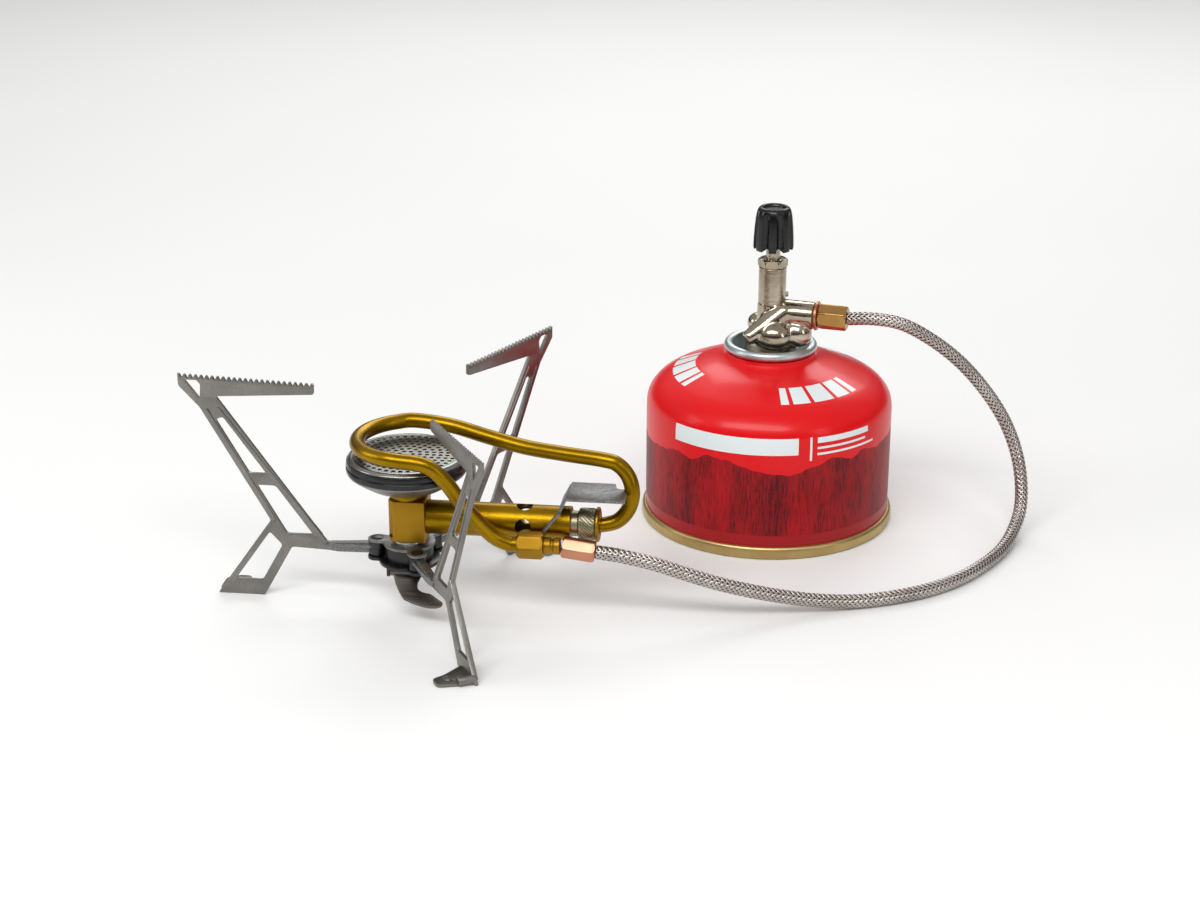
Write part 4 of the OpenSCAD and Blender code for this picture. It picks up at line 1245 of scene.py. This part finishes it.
# %% [markdown]
# ## The canister
# The canister is deep-drawn sheet, so its shoulder is one smooth turned curve. Its base is rolled into a
# seam of pale gold, and its collar into a bright zinc ring. All are lathe profiles with rounded corners.

# %% Shell, base and collar
R = high("canister_base").x - CAN.x - 1.3
WALL = 44
NECK_R, NECK_Z = 15.8, 62
shoulder = smooth_route([(R, WALL - 2), (R - 0.3, WALL + 0.6), (R - 1.3, WALL + 3.2), (R - 3.7, WALL + 6.2),
                         (R - 7, WALL + 8.5), (R - 10.7, WALL + 10.2), (R - 17.7, WALL + 12.9),
                         (NECK_R + 4, WALL + 14.7), (NECK_R + 1, WALL + 15.9), (NECK_R, WALL + 16.9)], 5)
shell = ([(R, 3.4), (R, 12.0), (R, 24.0), (R, 36.0)] + [(p[0], p[1]) for p in shoulder]
         + [(NECK_R, NECK_Z), (NECK_R - 2, NECK_Z), (NECK_R - 2, NECK_Z - 0.6), (NECK_R - 0.6, NECK_Z - 0.6),
            (NECK_R - 0.6, WALL + 15.4), (R - 18, WALL + 12), (R - 11, WALL + 9.3), (R - 4.3, WALL + 5.4),
            (R - 0.9, WALL - 0.6), (R - 0.6, 3.4)])
finished("canister_shell_drawn", turned(shell, 192), "canister", RED, ["canister_shell"], AT_CAN)
base = rounded([(R - 0.5, 0), (R + 0.7, 0), (R + 1.3, 0.9), (R + 1.3, 3.5), (R + 0.8, 4.4), (R + 0.02, 4.6),
                (R - 0.7, 4.4), (R - 1.4, 3.8), (R * 0.7, 6.8), (R * 0.35, 8.4), (0.001, 9), (0.001, 8.3),
                (R * 0.35, 7.7), (R * 0.7, 6.1), (R - 1.9, 3.2), (R - 1.3, 0.4)], 0.5, 4)
finished("canister_base_seamed", turned([(max(p[0], 0.0), p[1]) for p in base], 192), "canister",
         PALE_GOLD, ["canister_base"], AT_CAN)
COLLAR_R, COLLAR_Z, ROLL_R, CUP_FLOOR = 14.8, 63.8, 1.68, 57
edge_roll = arc(COLLAR_R, COLLAR_Z, ROLL_R, [math.radians(x) for x in range(-130, 181, 10)])
collar = edge_roll + [(12.9, COLLAR_Z - 0.6), (12.0, CUP_FLOOR + 2), (11.2, CUP_FLOOR + 0.7),
                      (5.6, CUP_FLOOR + 0.6), (5.6, CUP_FLOOR), (11.6, CUP_FLOOR), (12.4, CUP_FLOOR + 1),
                      (13.4, COLLAR_Z - 1.6)]
finished("canister_collar_rolled", turned(collar, 144), "canister", ZINC, ["canister_collar"], AT_CAN)

# %% Threaded stub
THREAD_R, THREAD_DEPTH, HALF_PITCH = 5.1, 0.42, 0.45
thread = [(THREAD_R + THREAD_DEPTH * (i % 2), CUP_FLOOR + 1.2 + HALF_PITCH * i) for i in range(16)]
stub = ([(3.2, CUP_FLOOR - 1.9), (7, CUP_FLOOR - 1.9), (7, CUP_FLOOR - 0.1), (THREAD_R, CUP_FLOOR)] + thread
        + [(THREAD_R, STUB_TOP), (1.7, STUB_TOP), (1.7, STUB_TOP - 2.0), (3.2, STUB_TOP - 2.1)])
finished("canister_stub_threaded", turned(stub, 72), "canister", BRIGHT_STEEL,
         ["canister_stub"], AT_CAN)

# %% [markdown]
# ## Pieces that keep their own shape
# Small or hidden pieces are right as they come from the engineering model. They only need a finish, which
# goes into their material slot.

# %% Finishes for the frame's own nodes
KEPT = {"hub_bolt": BRIGHT_STEEL, "lever_pin": BRIGHT_STEEL, "burner_gauze": GAUZE, "jet": BRASS,
        "spindle_packing": RUBBER, "valve_pin": BRIGHT_STEEL, "valve_seal": RUBBER, "stub_gasket": RUBBER,
        "canister_stem": WHITE_PLASTIC, "stem_spring": BRIGHT_STEEL}
for node, material in KEPT.items():
    painted(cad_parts[node].data, material)
print(len(KEPT), "nodes kept their shape")
